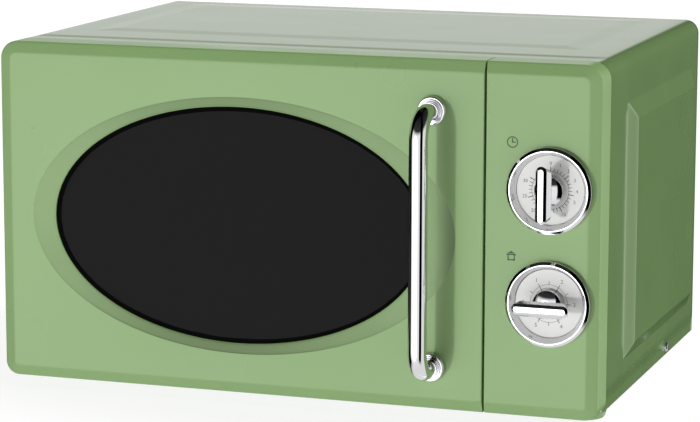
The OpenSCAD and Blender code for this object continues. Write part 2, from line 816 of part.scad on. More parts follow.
module turntable_coupler() {
    color("ivory") translate([axis_x, axis_y, 0]) {
        translate([0, 0, 17]) cylinder(r = 3.5, h = 14);
        translate([0, 0, 31]) cylinder(r = 9, h = 12);
        for (a = [0 : 120 : 240]) rotate(a) translate([0, -3, 37]) cube([20, 6, 6]);
    }
}

plate_z = cavity_z0 + 0.15 + 2 * roller_r + 0.15;

module turntable_plate() {
    r = plate_dia / 2;
    color([0.85, 0.92, 0.92, 0.5]) translate([axis_x, axis_y, plate_z]) {
        rotate_extrude($fn = 128) polygon([[0, 0], [r - 14, 0], [r - 12, 0.4], [r, 7.2], [r, 8.6], [r - 1.5, 9],
                                           [r - 13, 4.6], [r - 15, 4.4], [0, 4.4]]);
        for (a = [60 : 120 : 300]) rotate(a) translate([13, -4, -4]) cube([6, 8, 4.5]);
    }
}

ring_z = cavity_z0 + 0.15 + roller_r;

module roller_ring() {
    color("ivory") translate([axis_x, axis_y, ring_z]) {
        difference() {
            translate([0, 0, -3]) cylinder(r = 88, h = 6, $fn = 128);
            translate([0, 0, -4]) cylinder(r = 83, h = 8, $fn = 128);
        }
        for (a = [90 : 120 : 330]) rotate(a) rod_x(1.6, 0, 0, 86, roller_track + 7);
    }
}

module roller(i) {
    color("white") translate([axis_x, axis_y, ring_z]) rotate(90 + 120 * i) difference() {
        union() {
            rod_x(roller_r, 0, 0, roller_track - 4, roller_track + 4);
            rod_x(3.2, 0, 0, roller_track - 6, roller_track + 6);
        }
        rod_x(1.65, 0, 0, roller_track - 7, roller_track + 7);
    }
}

outer_cover();
base_plate();
rear_panel();
front_plate();
cavity_wrap();
cavity_floor();
cavity_back();
control_panel();
dial_rings();
dial_plates();
rotary_unit(timer_z, "whitesmoke");  // timer_unit
rotary_unit(power_z, "gray");  // power_control
hinge_brackets();
interlock_bracket();
interlock_switches();
waveguide();
waveguide_cover();
magnetron();
magnetron_fins();
magnetron_filter_box();
transformer_core();
transformer_windings();
capacitor();
capacitor_clamp();
hv_diode();
fan_shroud();
fan_motor();
air_duct();
lamp_bulb();
lamp_socket();
turntable_motor();
thermal_cutouts();
filter_board();
cord_bush();
front_feet();
rear_feet();
cover_screws();
door_frame();
door_glass();
door_screen();
choke_cover();
door_film();
door_hinge_blocks();
handle();
handle_rosettes();
handle_screws();
latch_spring();
latch_hook();
interlock_lever();
knob(timer_z, 90);  // timer_knob
knob_shaft(timer_z);  // timer_shaft
knob(power_z, 0);  // power_knob
knob_shaft(power_z);  // power_shaft
fan_blade();
turntable_coupler();
turntable_plate();
roller_ring();
roller(0);  // roller_1
roller(1);  // roller_2
roller(2);  // roller_3
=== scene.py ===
"""Looks of a countertop microwave oven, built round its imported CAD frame.

Sizes are in millimetres until a mesh is made, and every mesh is in metres in the frame's own axes:
the front faces -Y, +Z is up and +X is towards the controls.
"""
import json
import logging
import math
from dataclasses import dataclass
from enum import Enum
from typing import Sequence

import bmesh
import bpy
import numpy as np
from mathutils import Matrix, Vector


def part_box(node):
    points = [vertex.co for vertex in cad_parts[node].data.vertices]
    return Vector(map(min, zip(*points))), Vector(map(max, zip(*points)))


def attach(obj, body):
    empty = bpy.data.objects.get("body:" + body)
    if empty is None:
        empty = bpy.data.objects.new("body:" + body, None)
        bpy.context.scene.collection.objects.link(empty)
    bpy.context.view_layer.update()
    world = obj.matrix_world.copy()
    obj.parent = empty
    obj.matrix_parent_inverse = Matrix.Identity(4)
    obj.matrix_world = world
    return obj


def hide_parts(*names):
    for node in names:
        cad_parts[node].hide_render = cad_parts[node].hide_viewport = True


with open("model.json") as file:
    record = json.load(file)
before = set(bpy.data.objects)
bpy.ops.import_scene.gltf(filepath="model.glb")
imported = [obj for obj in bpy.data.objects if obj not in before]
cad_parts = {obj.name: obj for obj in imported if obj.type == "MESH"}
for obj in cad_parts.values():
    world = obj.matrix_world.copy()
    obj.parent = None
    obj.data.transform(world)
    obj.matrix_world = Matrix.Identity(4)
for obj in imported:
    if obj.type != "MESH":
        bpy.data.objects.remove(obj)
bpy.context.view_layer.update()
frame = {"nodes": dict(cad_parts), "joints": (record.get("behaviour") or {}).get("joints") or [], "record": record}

MM = 0.001
LOG = logging.getLogger("oven")
Pair = tuple[float, float]
Corner = tuple[float, float, float]
Ring = list[tuple[float, float, float]]


# ---- Frame ----

def extent(node: str) -> tuple[np.ndarray, np.ndarray]:
    """Lowest and highest corners of a CAD node, in millimetres.

    Args:
        node: name of the node.

    Returns:
        The two corners.
    """
    low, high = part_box(node)
    return np.array(low) / MM, np.array(high) / MM


def solids(node: str) -> list[tuple[np.ndarray, np.ndarray]]:
    """Boxes of the loose parts of a CAD node, lowest first.

    Args:
        node: name of the node.

    Returns:
        The lowest and highest corner of each part, in millimetres.
    """
    work = bmesh.new()
    work.from_mesh(frame["nodes"][node].data)
    bmesh.ops.remove_doubles(work, verts=work.verts, dist=1e-6)
    left, boxes = set(work.verts), []
    while left:
        stack, part = [left.pop()], []
        while stack:
            vertex = stack.pop()
            part.append(np.array(vertex.co) / MM)
            for edge in vertex.link_edges:
                other = edge.other_vert(vertex)
                if other in left:
                    left.remove(other)
                    stack.append(other)
        boxes.append((np.min(part, axis=0), np.max(part, axis=0)))
    work.free()
    return sorted(boxes, key=lambda box: (round(box[0][2], 2), round(box[0][0], 2)))


# ---- Shapes ----

class Axis(Enum):
    """A direction with the two directions across it."""

    FRONT = ((0, -1, 0), (1, 0, 0), (0, 0, 1))
    BACK = ((0, 1, 0), (-1, 0, 0), (0, 0, 1))
    UP = ((0, 0, 1), (1, 0, 0), (0, 1, 0))


def fillet(corners: Sequence[Corner], steps: int = 4, guard: float = 0.3, closed: bool = False) -> list[Pair]:
    """Rounds a profile's corners, with a guard point beside each arc that keeps the flats flat.

    Args:
        corners: place and radius of each corner, in order.
        steps: flats in each arc.
        guard: distance of the guard points from the arc.
        closed: whether the last corner joins the first.

    Returns:
        The rounded profile's points.
    """
    points: list[Pair] = []
    count = len(corners)
    for index, (across, along, radius) in enumerate(corners):
        here = np.array((across, along), float)
        if radius <= 0 or (not closed and index in (0, count - 1)):
            points.append((across, along))
            continue
        back = np.array(corners[index - 1][:2]) - here
        ahead = np.array(corners[(index + 1) % count][:2]) - here
        length_back, length_ahead = np.linalg.norm(back), np.linalg.norm(ahead)
        back, ahead = back / length_back, ahead / length_ahead
        half = math.acos(float(np.clip(back @ ahead, -1, 1))) / 2
        reach = min(radius / math.tan(half), 0.45 * length_back, 0.45 * length_ahead)
        middle = back + ahead
        centre = here + middle / np.linalg.norm(middle) * reach / math.cos(half)
        start, end = here + back * reach - centre, here + ahead * reach - centre
        turn = math.atan2(start[0] * end[1] - start[1] * end[0], float(start @ end))
        points.append(tuple(here + back * (reach + min(guard, 0.3 * (length_back - reach)))))
        for step in range(steps + 1):
            angle = turn * step / steps
            cos, sin = math.cos(angle), math.sin(angle)
            points.append((centre[0] + start[0] * cos - start[1] * sin,
                           centre[1] + start[0] * sin + start[1] * cos))
        points.append(tuple(here + ahead * (reach + min(guard, 0.3 * (length_ahead - reach)))))
    return points


class Skin:
    """Rings of points joined by faces, which become one mesh."""

    def __init__(self) -> None:
        """Starts with no points."""
        self.points: list[Sequence[float]] = []
        self.faces: list[tuple[int, ...]] = []

    def ring(self, points: Sequence[Sequence[float]]) -> list[int]:
        """Adds points and returns their numbers."""
        first = len(self.points)
        self.points.extend(points)
        return list(range(first, len(self.points)))

    def bridge(self, one: list[int], two: list[int], closed: bool = True) -> None:
        """Joins two rings of the same length with a band of faces."""
        for i in range(len(one) if closed else len(one) - 1):
            j = (i + 1) % len(one)
            self.faces.append((one[i], one[j], two[j], two[i]))

    def loft(self, rings: Sequence[Sequence[Sequence[float]]], closed: bool = True, wrap: bool = False,
             caps: bool = False) -> None:
        """Joins rings in order.

        Args:
            rings: the rings' points, each ring of the same length.
            closed: whether each ring is a loop.
            wrap: whether the last ring joins the first.
            caps: whether the first and last rings are filled.
        """
        numbers = [self.ring(ring) for ring in rings]
        for one, two in zip(numbers, numbers[1:]):
            self.bridge(one, two, closed)
        if wrap:
            self.bridge(numbers[-1], numbers[0], closed)
        if caps:
            self.faces.append(tuple(reversed(numbers[0])))
            self.faces.append(tuple(numbers[-1]))

    def lathe(self, profile: Sequence[Pair], centre: Sequence[float], axis: Axis, segments: int = 96,
              wrap: bool = True) -> None:
        """Turns a profile of radius and height about an axis.

        Args:
            profile: radius and height of each point.
            centre: where the height is zero on the axis.
            axis: direction of the height.
            segments: flats round the turn.
            wrap: whether the profile is a closed loop that stays off the axis.
        """
        along, across, up = (np.array(v, float) for v in axis.value)
        angles = [2 * math.pi * i / segments for i in range(segments)]
        spokes = [across * math.cos(a) + up * math.sin(a) for a in angles]
        foot = np.array(centre, float)
        self.loft([[foot + along * height + spoke * radius for spoke in spokes]
                   for radius, height in profile], wrap=wrap)

    def make(self, name: str, finish: "Finish", crease: float = 32.0) -> bpy.types.Object:
        """Makes the object, with welded points and outward faces.

        Args:
            name: the piece's name.
            finish: its finish.
            crease: least angle of an edge that stays sharp, in degrees.

        Returns:
            The object.
        """
        mesh = bpy.data.meshes.new(name)
        mesh.from_pydata([tuple(float(c) * MM for c in point) for point in self.points], [], self.faces)
        work = bmesh.new()
        work.from_mesh(mesh)
        bmesh.ops.remove_doubles(work, verts=work.verts, dist=2e-6)
        bmesh.ops.dissolve_degenerate(work, edges=work.edges, dist=1e-7)
        bmesh.ops.recalc_face_normals(work, faces=work.faces)
        work.to_mesh(mesh)
        work.free()
        piece = bpy.data.objects.new(name, mesh)
        bpy.context.scene.collection.objects.link(piece)
        return dress(piece, finish, crease)


def dress(piece: bpy.types.Object, finish: "Finish", crease: float = 32.0) -> bpy.types.Object:
    """Gives a piece one finish and smooth shading between its creases."""
    piece.data.materials.clear()
    piece.data.materials.append(finish.material())
    piece.data.shade_smooth()
    piece.data.set_sharp_from_angle(angle=math.radians(crease))
    return piece


def settle(piece: bpy.types.Object) -> bpy.types.Object:
    """Turns a piece with modifiers into a plain mesh."""
    graph = bpy.context.evaluated_depsgraph_get()
    graph.update()
    mesh = bpy.data.meshes.new_from_object(piece.evaluated_get(graph), depsgraph=graph)
    piece.modifiers.clear()
    piece.data = mesh
    return piece


def cut(piece: bpy.types.Object, tool: Skin, finish: "Finish", crease: float = 32.0) -> bpy.types.Object:
    """Cuts the tool's shape out of a piece.

    Args:
        piece: what is cut.
        tool: closed shapes to remove.
        finish: the finish of the piece.
        crease: least angle of an edge that stays sharp, in degrees.

    Returns:
        The piece.
    """
    cutter = tool.make(piece.name + "_cutter", finish)
    modifier = piece.modifiers.new("cut", "BOOLEAN")
    modifier.operation, modifier.solver, modifier.object = "DIFFERENCE", "EXACT", cutter
    settle(piece)
    bpy.data.objects.remove(cutter)
    return dress(piece, finish, crease)


def join(name: str, parts: Sequence[bpy.types.Object], finish: "Finish") -> bpy.types.Object:
    """Joins objects at the origin into one piece."""
    work = bmesh.new()
    for part in parts:
        work.from_mesh(part.data)
    mesh = bpy.data.meshes.new(name)
    work.to_mesh(mesh)
    work.free()
    for part in parts:
        bpy.data.objects.remove(part)
    piece = bpy.data.objects.new(name, mesh)
    bpy.context.scene.collection.objects.link(piece)
    return dress(piece, finish)


def fit(piece: bpy.types.Object, body: str, slot: str, *nodes: str) -> bpy.types.Object:
    """Puts a finished piece on its body.

    Args:
        piece: the piece.
        body: the CAD body that it moves with.
        slot: the record's material slot; not used.
        nodes: the CAD nodes that it stands for.

    Returns:
        The piece.
    """
    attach(piece, body)
    if nodes:
        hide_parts(*nodes)
    LOG.info("%s: %d faces on %s", piece.name, len(piece.data.polygons), body)
    return piece


def block(skin: Skin, low: Sequence[float], high: Sequence[float]) -> None:
    """Adds a box between two corners."""
    x0, y0, z0 = low
    x1, y1, z1 = high
    skin.loft([[(x0, y, z0), (x1, y, z0), (x1, y, z1), (x0, y, z1)] for y in (y0, y1)], caps=True)


def bar_outline(half_x: float, half_z: float, radius: float, steps: int = 6) -> list[Pair]:
    """Rectangle with round corners, anticlockwise, about zero."""
    radius = max(0.02, min(radius, half_x, half_z))
    points = []
    for index, (sx, sz) in enumerate(((1, 1), (-1, 1), (-1, -1), (1, -1))):
        for step in range(steps + 1):
            angle = math.radians(90 * index + 90 * step / steps)
            points.append((sx * (half_x - radius) + radius * math.cos(angle),
                           sz * (half_z - radius) + radius * math.sin(angle)))
    return points


# ---- Node trees ----

def linear(colour: str) -> tuple[float, float, float, float]:
    """Turns an sRGB hex colour into linear values."""
    parts = [int(colour[i:i + 2], 16) / 255 for i in (1, 3, 5)]
    return tuple(c / 12.92 if c <= 0.04045 else ((c + 0.055) / 1.055) ** 2.4 for c in parts) + (1.0,)


def add_node(tree: bpy.types.NodeTree, kind: str, inputs: dict | None = None,
             **settings: object) -> bpy.types.Node:
    """Adds a node with its settings and links.

    Args:
        tree: the tree.
        kind: the node's type.
        inputs: a value, or a socket to link, for each input by name or number.
        settings: the node's own properties.

    Returns:
        The node.
    """
    node = tree.nodes.new(kind)
    for key, value in settings.items():
        setattr(node, key, value)
    for key, value in (inputs or {}).items():
        if isinstance(value, bpy.types.NodeSocket):
            tree.links.new(value, node.inputs[key])
        else:
            node.inputs[key].default_value = value
    return node


class Grain(Enum):
    """How a surface's fine pattern is made: stretch of its noise along X, Y and Z."""

    PEEL = (1, 1, 1)
    BRUSHED_X = (0.02, 1, 1)
    BRUSHED_Z = (1, 1, 0.02)
    LAYERS_Y = (0.01, 1, 0.01)
    SPANGLE = (1, 1, 1.001)


@dataclass(frozen=True)
class Finish:
    """An opaque finish, or a tinted one with opacity below 1."""

    name: str
    colour: str
    roughness: float
    metallic: float = 0.0
    grain: Grain = Grain.PEEL
    grain_mm: float = 1.2
    relief_mm: float = 0.004
    variation: float = 0.05
    coat: float = 0.0
    coat_roughness: float = 0.05
    ior: float = 1.5
    opacity: float = 1.0
    clear: float = 0.0

    BLOTCHES_PER_METRE = 14.0

    def material(self) -> bpy.types.Material:
        """Returns the material, made on first use."""
        known = bpy.data.materials.get(self.name)
        if known:
            return known
        material = bpy.data.materials.new(self.name)
        material.use_nodes = True
        tree = material.node_tree
        tree.nodes.clear()
        place = add_node(tree, "ShaderNodeTexCoord").outputs["Object"]
        scale = tuple(s / (self.grain_mm * MM) for s in self.grain.value)
        stretched = add_node(tree, "ShaderNodeMapping", {"Vector": place, "Scale": scale}).outputs["Vector"]
        if self.grain is Grain.SPANGLE:
            cells = add_node(tree, "ShaderNodeTexVoronoi", {"Vector": stretched, "Scale": 1.0})
            fine = add_node(tree, "ShaderNodeSeparateColor", {"Color": cells.outputs["Color"]}).outputs[0]
        else:
            speckle = {"Vector": stretched, "Scale": 1.0, "Detail": 3.0}
            fine = add_node(tree, "ShaderNodeTexNoise", speckle).outputs[0]
        blotches = {"Vector": place, "Scale": self.BLOTCHES_PER_METRE, "Detail": 2.0}
        broad = add_node(tree, "ShaderNodeTexNoise", blotches).outputs[0]
        patchy = self.metallic > 0 or self.grain is Grain.SPANGLE
        pattern = {0: fine if patchy else broad, 1: broad}
        both = add_node(tree, "ShaderNodeMath", pattern, operation="ADD").outputs[0]
        spread = {"Value": both, "From Min": 0.6, "From Max": 1.4}
        blend = add_node(tree, "ShaderNodeMapRange", spread).outputs[0]
        base = linear(self.colour)
        dark = tuple(c * (1 - self.variation) for c in base[:3]) + (1.0,)
        light = tuple(min(1.0, c * (1 + self.variation)) for c in base[:3]) + (1.0,)
        colour = add_node(tree, "ShaderNodeMix", {0: blend, 6: dark, 7: light}, data_type="RGBA").outputs[2]
        rough = add_node(tree, "ShaderNodeMapRange", spread | {
            "To Min": self.roughness * 0.88, "To Max": self.roughness * 1.12}).outputs[0]
        bump = add_node(tree, "ShaderNodeBump", {
            "Height": fine, "Distance": self.relief_mm * MM, "Strength": 1.0})
        shader = add_node(tree, "ShaderNodeBsdfPrincipled", {
            "Base Color": colour, "Roughness": rough, "Metallic": self.metallic, "Normal": bump.outputs[0],
            "Coat Weight": self.coat, "Coat Roughness": self.coat_roughness, "IOR": self.ior,
            "Alpha": self.opacity, "Transmission Weight": self.clear})
        add_node(tree, "ShaderNodeOutputMaterial", {"Surface": shader.outputs[0]})
        return material


# Baked satin enamel over sheet steel: an even colour with a faint orange peel
PAINTED_STEEL = Finish("satin_enamel_on_steel", "#617a4e", 0.14, grain_mm=3, relief_mm=0.002, variation=0.02,
                       ior=1.35)
# Sprayed ABS of the door and the panel: a lighter and softer green than the steel
PAINTED_ABS = Finish("sprayed_abs", "#799861", 0.3, grain_mm=2.4, relief_mm=0.002, variation=0.015)
# The door's dished border: the same ABS under a pearl lacquer, so it looks darker and greyer
DISH_ABS = Finish("pearl_sprayed_abs", "#617650", 0.35, 0.5, grain_mm=2.4, relief_mm=0.002, variation=0.015)
# Bright chrome plate over smooth die cast zinc and tube: a clear mirror
CHROME = Finish("bright_chrome_plate", "#e6e6e8", 0.045, 1.0, grain_mm=8.0, relief_mm=0.0004, variation=0.01)
# Anodised aluminium dial with a fine matt grain
DIAL = Finish("matt_anodised_dial", "#d2d2d0", 0.5, 0.15, grain_mm=0.5, relief_mm=0.003, variation=0.05)
# Grey ink of the ticks and numerals on the dials
DIAL_INK = Finish("grey_dial_ink", "#57575b", 0.6, variation=0.08)
# Dark green pad print of the panel's two pictures
PANEL_INK = Finish("dark_green_pad_print", "#3a4f2c", 0.55, variation=0.08)
# Smoked glass: nearly black, so the screen behind it hardly shows
SMOKED_GLASS = Finish("smoked_toughened_glass", "#121212", 0.25, opacity=0.92, grain_mm=6, relief_mm=0.0005,
                      ior=1.12)
# Matt black rubber of the window's seal, whose black also serves as painted shade where the seal is widened on the
# left
SEAL_AND_SHADE_BLACK = Finish("black_seal_rubber", "#070707", 0.8, variation=0.1, ior=1.08)
# Clear pressed glass of the turntable and the lamp
CLEAR_GLASS = Finish("clear_soda_lime_glass", "#eef6f4", 0.03, clear=1.0, relief_mm=0.0005, variation=0.01)
# Thin clear polyester over the inside of the door's screen
CLEAR_FILM = Finish("clear_polyester_film", "#dfe6e4", 0.12, opacity=0.25, relief_mm=0.001)
# Zinc plated sheet, with the soft spangle of its crystals
ZINC_STEEL = Finish("zinc_plated_sheet", "#b9bcc0", 0.36, 1.0, Grain.SPANGLE, 7.0, 0.002, 0.1)
# Turned bright steel of shafts, screws and the latch's spring
BRIGHT_STEEL = Finish("turned_steel", "#c4c5c8", 0.25, 1.0, Grain.BRUSHED_X, 0.4, 0.002, 0.06)
# Pale grey enamel of the cavity, smooth and slightly glossy
OVEN_ENAMEL = Finish("grey_oven_enamel", "#cfcfca", 0.28, grain_mm=2.0, relief_mm=0.01, variation=0.03,
                     coat=0.4)
# Black stove enamel on the pierced door screen
BLACK_ENAMEL = Finish("black_stove_enamel", "#202020", 0.4, grain_mm=1.0, relief_mm=0.005, variation=0.1)
# Unpigmented nylon of the hook, the coupler, the rollers and the lever
WHITE_NYLON = Finish("natural_nylon", "#d9d6ca", 0.42, grain_mm=0.7, relief_mm=0.006, variation=0.04)
# Glass filled black nylon, with a fine moulded grain
BLACK_NYLON = Finish("black_glass_filled_nylon", "#1c1c1d", 0.48, grain_mm=0.6, relief_mm=0.01,
                     variation=0.12)
# Plain aluminium of the magnetron's fins and cans, with a faint drawn grain
ALUMINIUM = Finish("mill_aluminium", "#c2c4c6", 0.3, 1.0, Grain.BRUSHED_Z, 0.5, 0.003, 0.06)
# Varnished iron laminations, with their fine parallel edges
LAMINATIONS = Finish("varnished_laminations", "#3e3a37", 0.38, 0.5, Grain.LAYERS_Y, 0.5, 0.03, 0.3)
# Enamelled copper wire, wound in close rows
ENAMELLED_COPPER = Finish("enamelled_copper_wire", "#9a4f22", 0.3, 0.7, Grain.LAYERS_Y, 0.9, 0.12, 0.25)
# Mica board over the waveguide's mouth
MICA = Finish("mica_board", "#b5a58a", 0.4, grain_mm=4.0, relief_mm=0.02, variation=0.2)
# Green laminate of the mains filter's board
BOARD = Finish("circuit_board_laminate", "#27492f", 0.35, grain_mm=1.0, relief_mm=0.01, variation=0.15)

SLOT_FINISH = {
    "green_steel": PAINTED_STEEL, "green_moulding": PAINTED_ABS, "zinc_steel": ZINC_STEEL,
    "oven_enamel": OVEN_ENAMEL, "chrome_trim": CHROME, "dial_silver": DIAL, "white_plastic": WHITE_NYLON,
    "black_plastic": BLACK_NYLON, "alu_parts": ALUMINIUM, "iron_core": LAMINATIONS,
    "copper_coils": ENAMELLED_COPPER, "dark_glass": SMOKED_GLASS, "clear_glass": CLEAR_GLASS}
NODE_FINISH = {
    "door_film": CLEAR_FILM, "waveguide_cover": MICA, "filter_board": BOARD, "rear_panel": ZINC_STEEL,
    "front_plate": OVEN_ENAMEL, "timer_shaft": BRIGHT_STEEL, "power_shaft": BRIGHT_STEEL}


# ---- Geometry Nodes ----

def grow(name: str, tree: bpy.types.NodeTree, values: dict[str, object],
         points: bpy.types.Mesh | None = None) -> bpy.types.Object:
    """Runs a Geometry Nodes tree and keeps its result as a plain mesh.

    Args:
        name: the piece's name.
        tree: the tree.
        values: a value for each named input.
        points: the mesh that the tree starts from.

    Returns:
        The piece.
    """
    piece = bpy.data.objects.new(name, points or bpy.data.meshes.new(name))
    bpy.context.scene.collection.objects.link(piece)
    modifier = piece.modifiers.new(name, "NODES")
    modifier.node_group = tree
    for item in tree.interface.items_tree:
        if item.item_type == "SOCKET" and item.in_out == "INPUT" and item.name in values:
            modifier[item.identifier] = values[item.name]
    settle(piece)
    piece.data.name = name
    return piece


def new_tree(name: str, inputs: dict[str, str]) -> tuple[bpy.types.NodeTree, bpy.types.Node]:
    """Starts a Geometry Nodes tree.

    Args:
        name: the tree's name.
        inputs: the socket type of each named input.

    Returns:
        The tree and its input node.
    """
    tree = bpy.data.node_groups.new(name, "GeometryNodeTree")
    tree.interface.new_socket("Geometry", in_out="INPUT", socket_type="NodeSocketGeometry")
    for key, kind in inputs.items():
        tree.interface.new_socket(key, in_out="INPUT", socket_type=kind)
    tree.interface.new_socket("Geometry", in_out="OUTPUT", socket_type="NodeSocketGeometry")
    return tree, add_node(tree, "NodeGroupInput")


def end_tree(tree: bpy.types.NodeTree, start: bpy.types.Node, geometry: bpy.types.NodeSocket) -> None:
    """Ends a tree with Realize Instances and Set Material."""
    real = add_node(tree, "GeometryNodeRealizeInstances", {"Geometry": geometry}).outputs[0]
    done = add_node(tree, "GeometryNodeSetMaterial", {
        "Geometry": real, "Material": start.outputs["Material"]})
    add_node(tree, "NodeGroupOutput", {"Geometry": done.outputs[0]})


def copies_tree() -> bpy.types.NodeTree:
    """Copies of one object on points, turned to each point's aim attribute."""
    known = bpy.data.node_groups.get("aimed_copies")
    if known:
        return known
    tree, start = new_tree("aimed_copies", {"Part": "NodeSocketObject", "Size": "NodeSocketFloat",
                                            "Material": "NodeSocketMaterial"})
    part = add_node(tree, "GeometryNodeObjectInfo", {"Object": start.outputs["Part"]})
    aim = add_node(tree, "GeometryNodeInputNamedAttribute", {"Name": "aim"}, data_type="FLOAT_VECTOR")
    turn = add_node(tree, "FunctionNodeAlignRotationToVector", {"Vector": aim.outputs[0]}, axis="Z")
    copies = add_node(tree, "GeometryNodeInstanceOnPoints", {
        "Points": start.outputs["Geometry"], "Instance": part.outputs["Geometry"],
        "Rotation": turn.outputs[0], "Scale": start.outputs["Size"]})
    end_tree(tree, start, copies.outputs[0])
    return tree


def aimed_copies(name: str, part: bpy.types.Object, places: Sequence[tuple[Sequence[float], ...]],
                 finish: Finish) -> bpy.types.Object:
    """Copies a part to places, each with the direction that its own +Z takes.

    Args:
        name: the piece's name.
        part: the part, in metres about the origin; it is removed afterwards.
        places: a place in millimetres and a direction for each copy.
        finish: the finish.

    Returns:
        The piece.
    """
    points = bpy.data.meshes.new(name + "_places")
    points.from_pydata([tuple(c * MM for c in place) for place, _ in places], [], [])
    aim = points.attributes.new("aim", "FLOAT_VECTOR", "POINT")
    aim.data.foreach_set("vector", [float(c) for _, direction in places for c in direction])
    piece = grow(name, copies_tree(), {"Part": part, "Size": 1.0, "Material": finish.material()}, points)
    bpy.data.objects.remove(part)
    return dress(piece, finish)


def grid_tree() -> bpy.types.NodeTree:
    """Copies of one tile on an upright grid that faces -Y, welded where they meet."""
    tree, start = new_tree("upright_grid", {
        "Tile": "NodeSocketObject", "Width": "NodeSocketFloat", "Height": "NodeSocketFloat",
        "Columns": "NodeSocketInt", "Rows": "NodeSocketInt", "Centre": "NodeSocketVector",
        "Material": "NodeSocketMaterial"})
    grid = add_node(tree, "GeometryNodeMeshGrid", {
        "Size X": start.outputs["Width"], "Size Y": start.outputs["Height"],
        "Vertices X": start.outputs["Columns"], "Vertices Y": start.outputs["Rows"]})
    stood = add_node(tree, "GeometryNodeTransform", {
        "Geometry": grid.outputs[0], "Rotation": (math.radians(90), 0, 0),
        "Translation": start.outputs["Centre"]})
    tile = add_node(tree, "GeometryNodeObjectInfo", {"Object": start.outputs["Tile"]})
    copies = add_node(tree, "GeometryNodeInstanceOnPoints", {
        "Points": stood.outputs[0], "Instance": tile.outputs["Geometry"]})
    real = add_node(tree, "GeometryNodeRealizeInstances", {"Geometry": copies.outputs[0]})
    weld = add_node(tree, "GeometryNodeMergeByDistance", {"Geometry": real.outputs[0], "Distance": 1e-5})
    end_tree(tree, start, weld.outputs[0])
    return tree


def ticks_tree() -> bpy.types.NodeTree:
    """Printed ticks on an arc round a centre, facing -Y."""
    known = bpy.data.node_groups.get("dial_ticks")
    if known:
        return known
    tree, start = new_tree("dial_ticks", {
        "Count": "NodeSocketInt", "Radius": "NodeSocketFloat", "First angle": "NodeSocketFloat",
        "Step angle": "NodeSocketFloat", "Tick": "NodeSocketVector", "Centre": "NodeSocketVector",
        "Material": "NodeSocketMaterial"})
    index = add_node(tree, "GeometryNodeInputIndex").outputs[0]
    steps = {0: index, 1: start.outputs["Step angle"], 2: start.outputs["First angle"]}
    angle = add_node(tree, "ShaderNodeMath", steps, operation="MULTIPLY_ADD").outputs[0]
    radius = start.outputs["Radius"]
    cosine = add_node(tree, "ShaderNodeMath", {0: angle}, operation="COSINE").outputs[0]
    sine = add_node(tree, "ShaderNodeMath", {0: angle}, operation="SINE").outputs[0]
    across = add_node(tree, "ShaderNodeMath", {0: cosine, 1: radius}, operation="MULTIPLY").outputs[0]
    up = add_node(tree, "ShaderNodeMath", {0: sine, 1: radius}, operation="MULTIPLY").outputs[0]
    spot = add_node(tree, "ShaderNodeCombineXYZ", {"X": across, "Z": up}).outputs[0]
    placed = add_node(tree, "ShaderNodeVectorMath", {0: spot, 1: start.outputs["Centre"]}).outputs[0]
    line = add_node(tree, "GeometryNodeMeshLine", {"Count": start.outputs["Count"]})
    points = add_node(tree, "GeometryNodeSetPosition", {"Geometry": line.outputs[0], "Position": placed})
    back = add_node(tree, "ShaderNodeMath", {0: angle, 1: -1.0}, operation="MULTIPLY").outputs[0]
    turn = add_node(tree, "ShaderNodeCombineXYZ", {"Y": back}).outputs[0]
    tick = add_node(tree, "GeometryNodeMeshCube", {"Size": start.outputs["Tick"]})
    copies = add_node(tree, "GeometryNodeInstanceOnPoints", {
        "Points": points.outputs[0], "Instance": tick.outputs[0], "Rotation": turn})
    end_tree(tree, start, copies.outputs[0])
    return tree


# ---- Cabinet ----

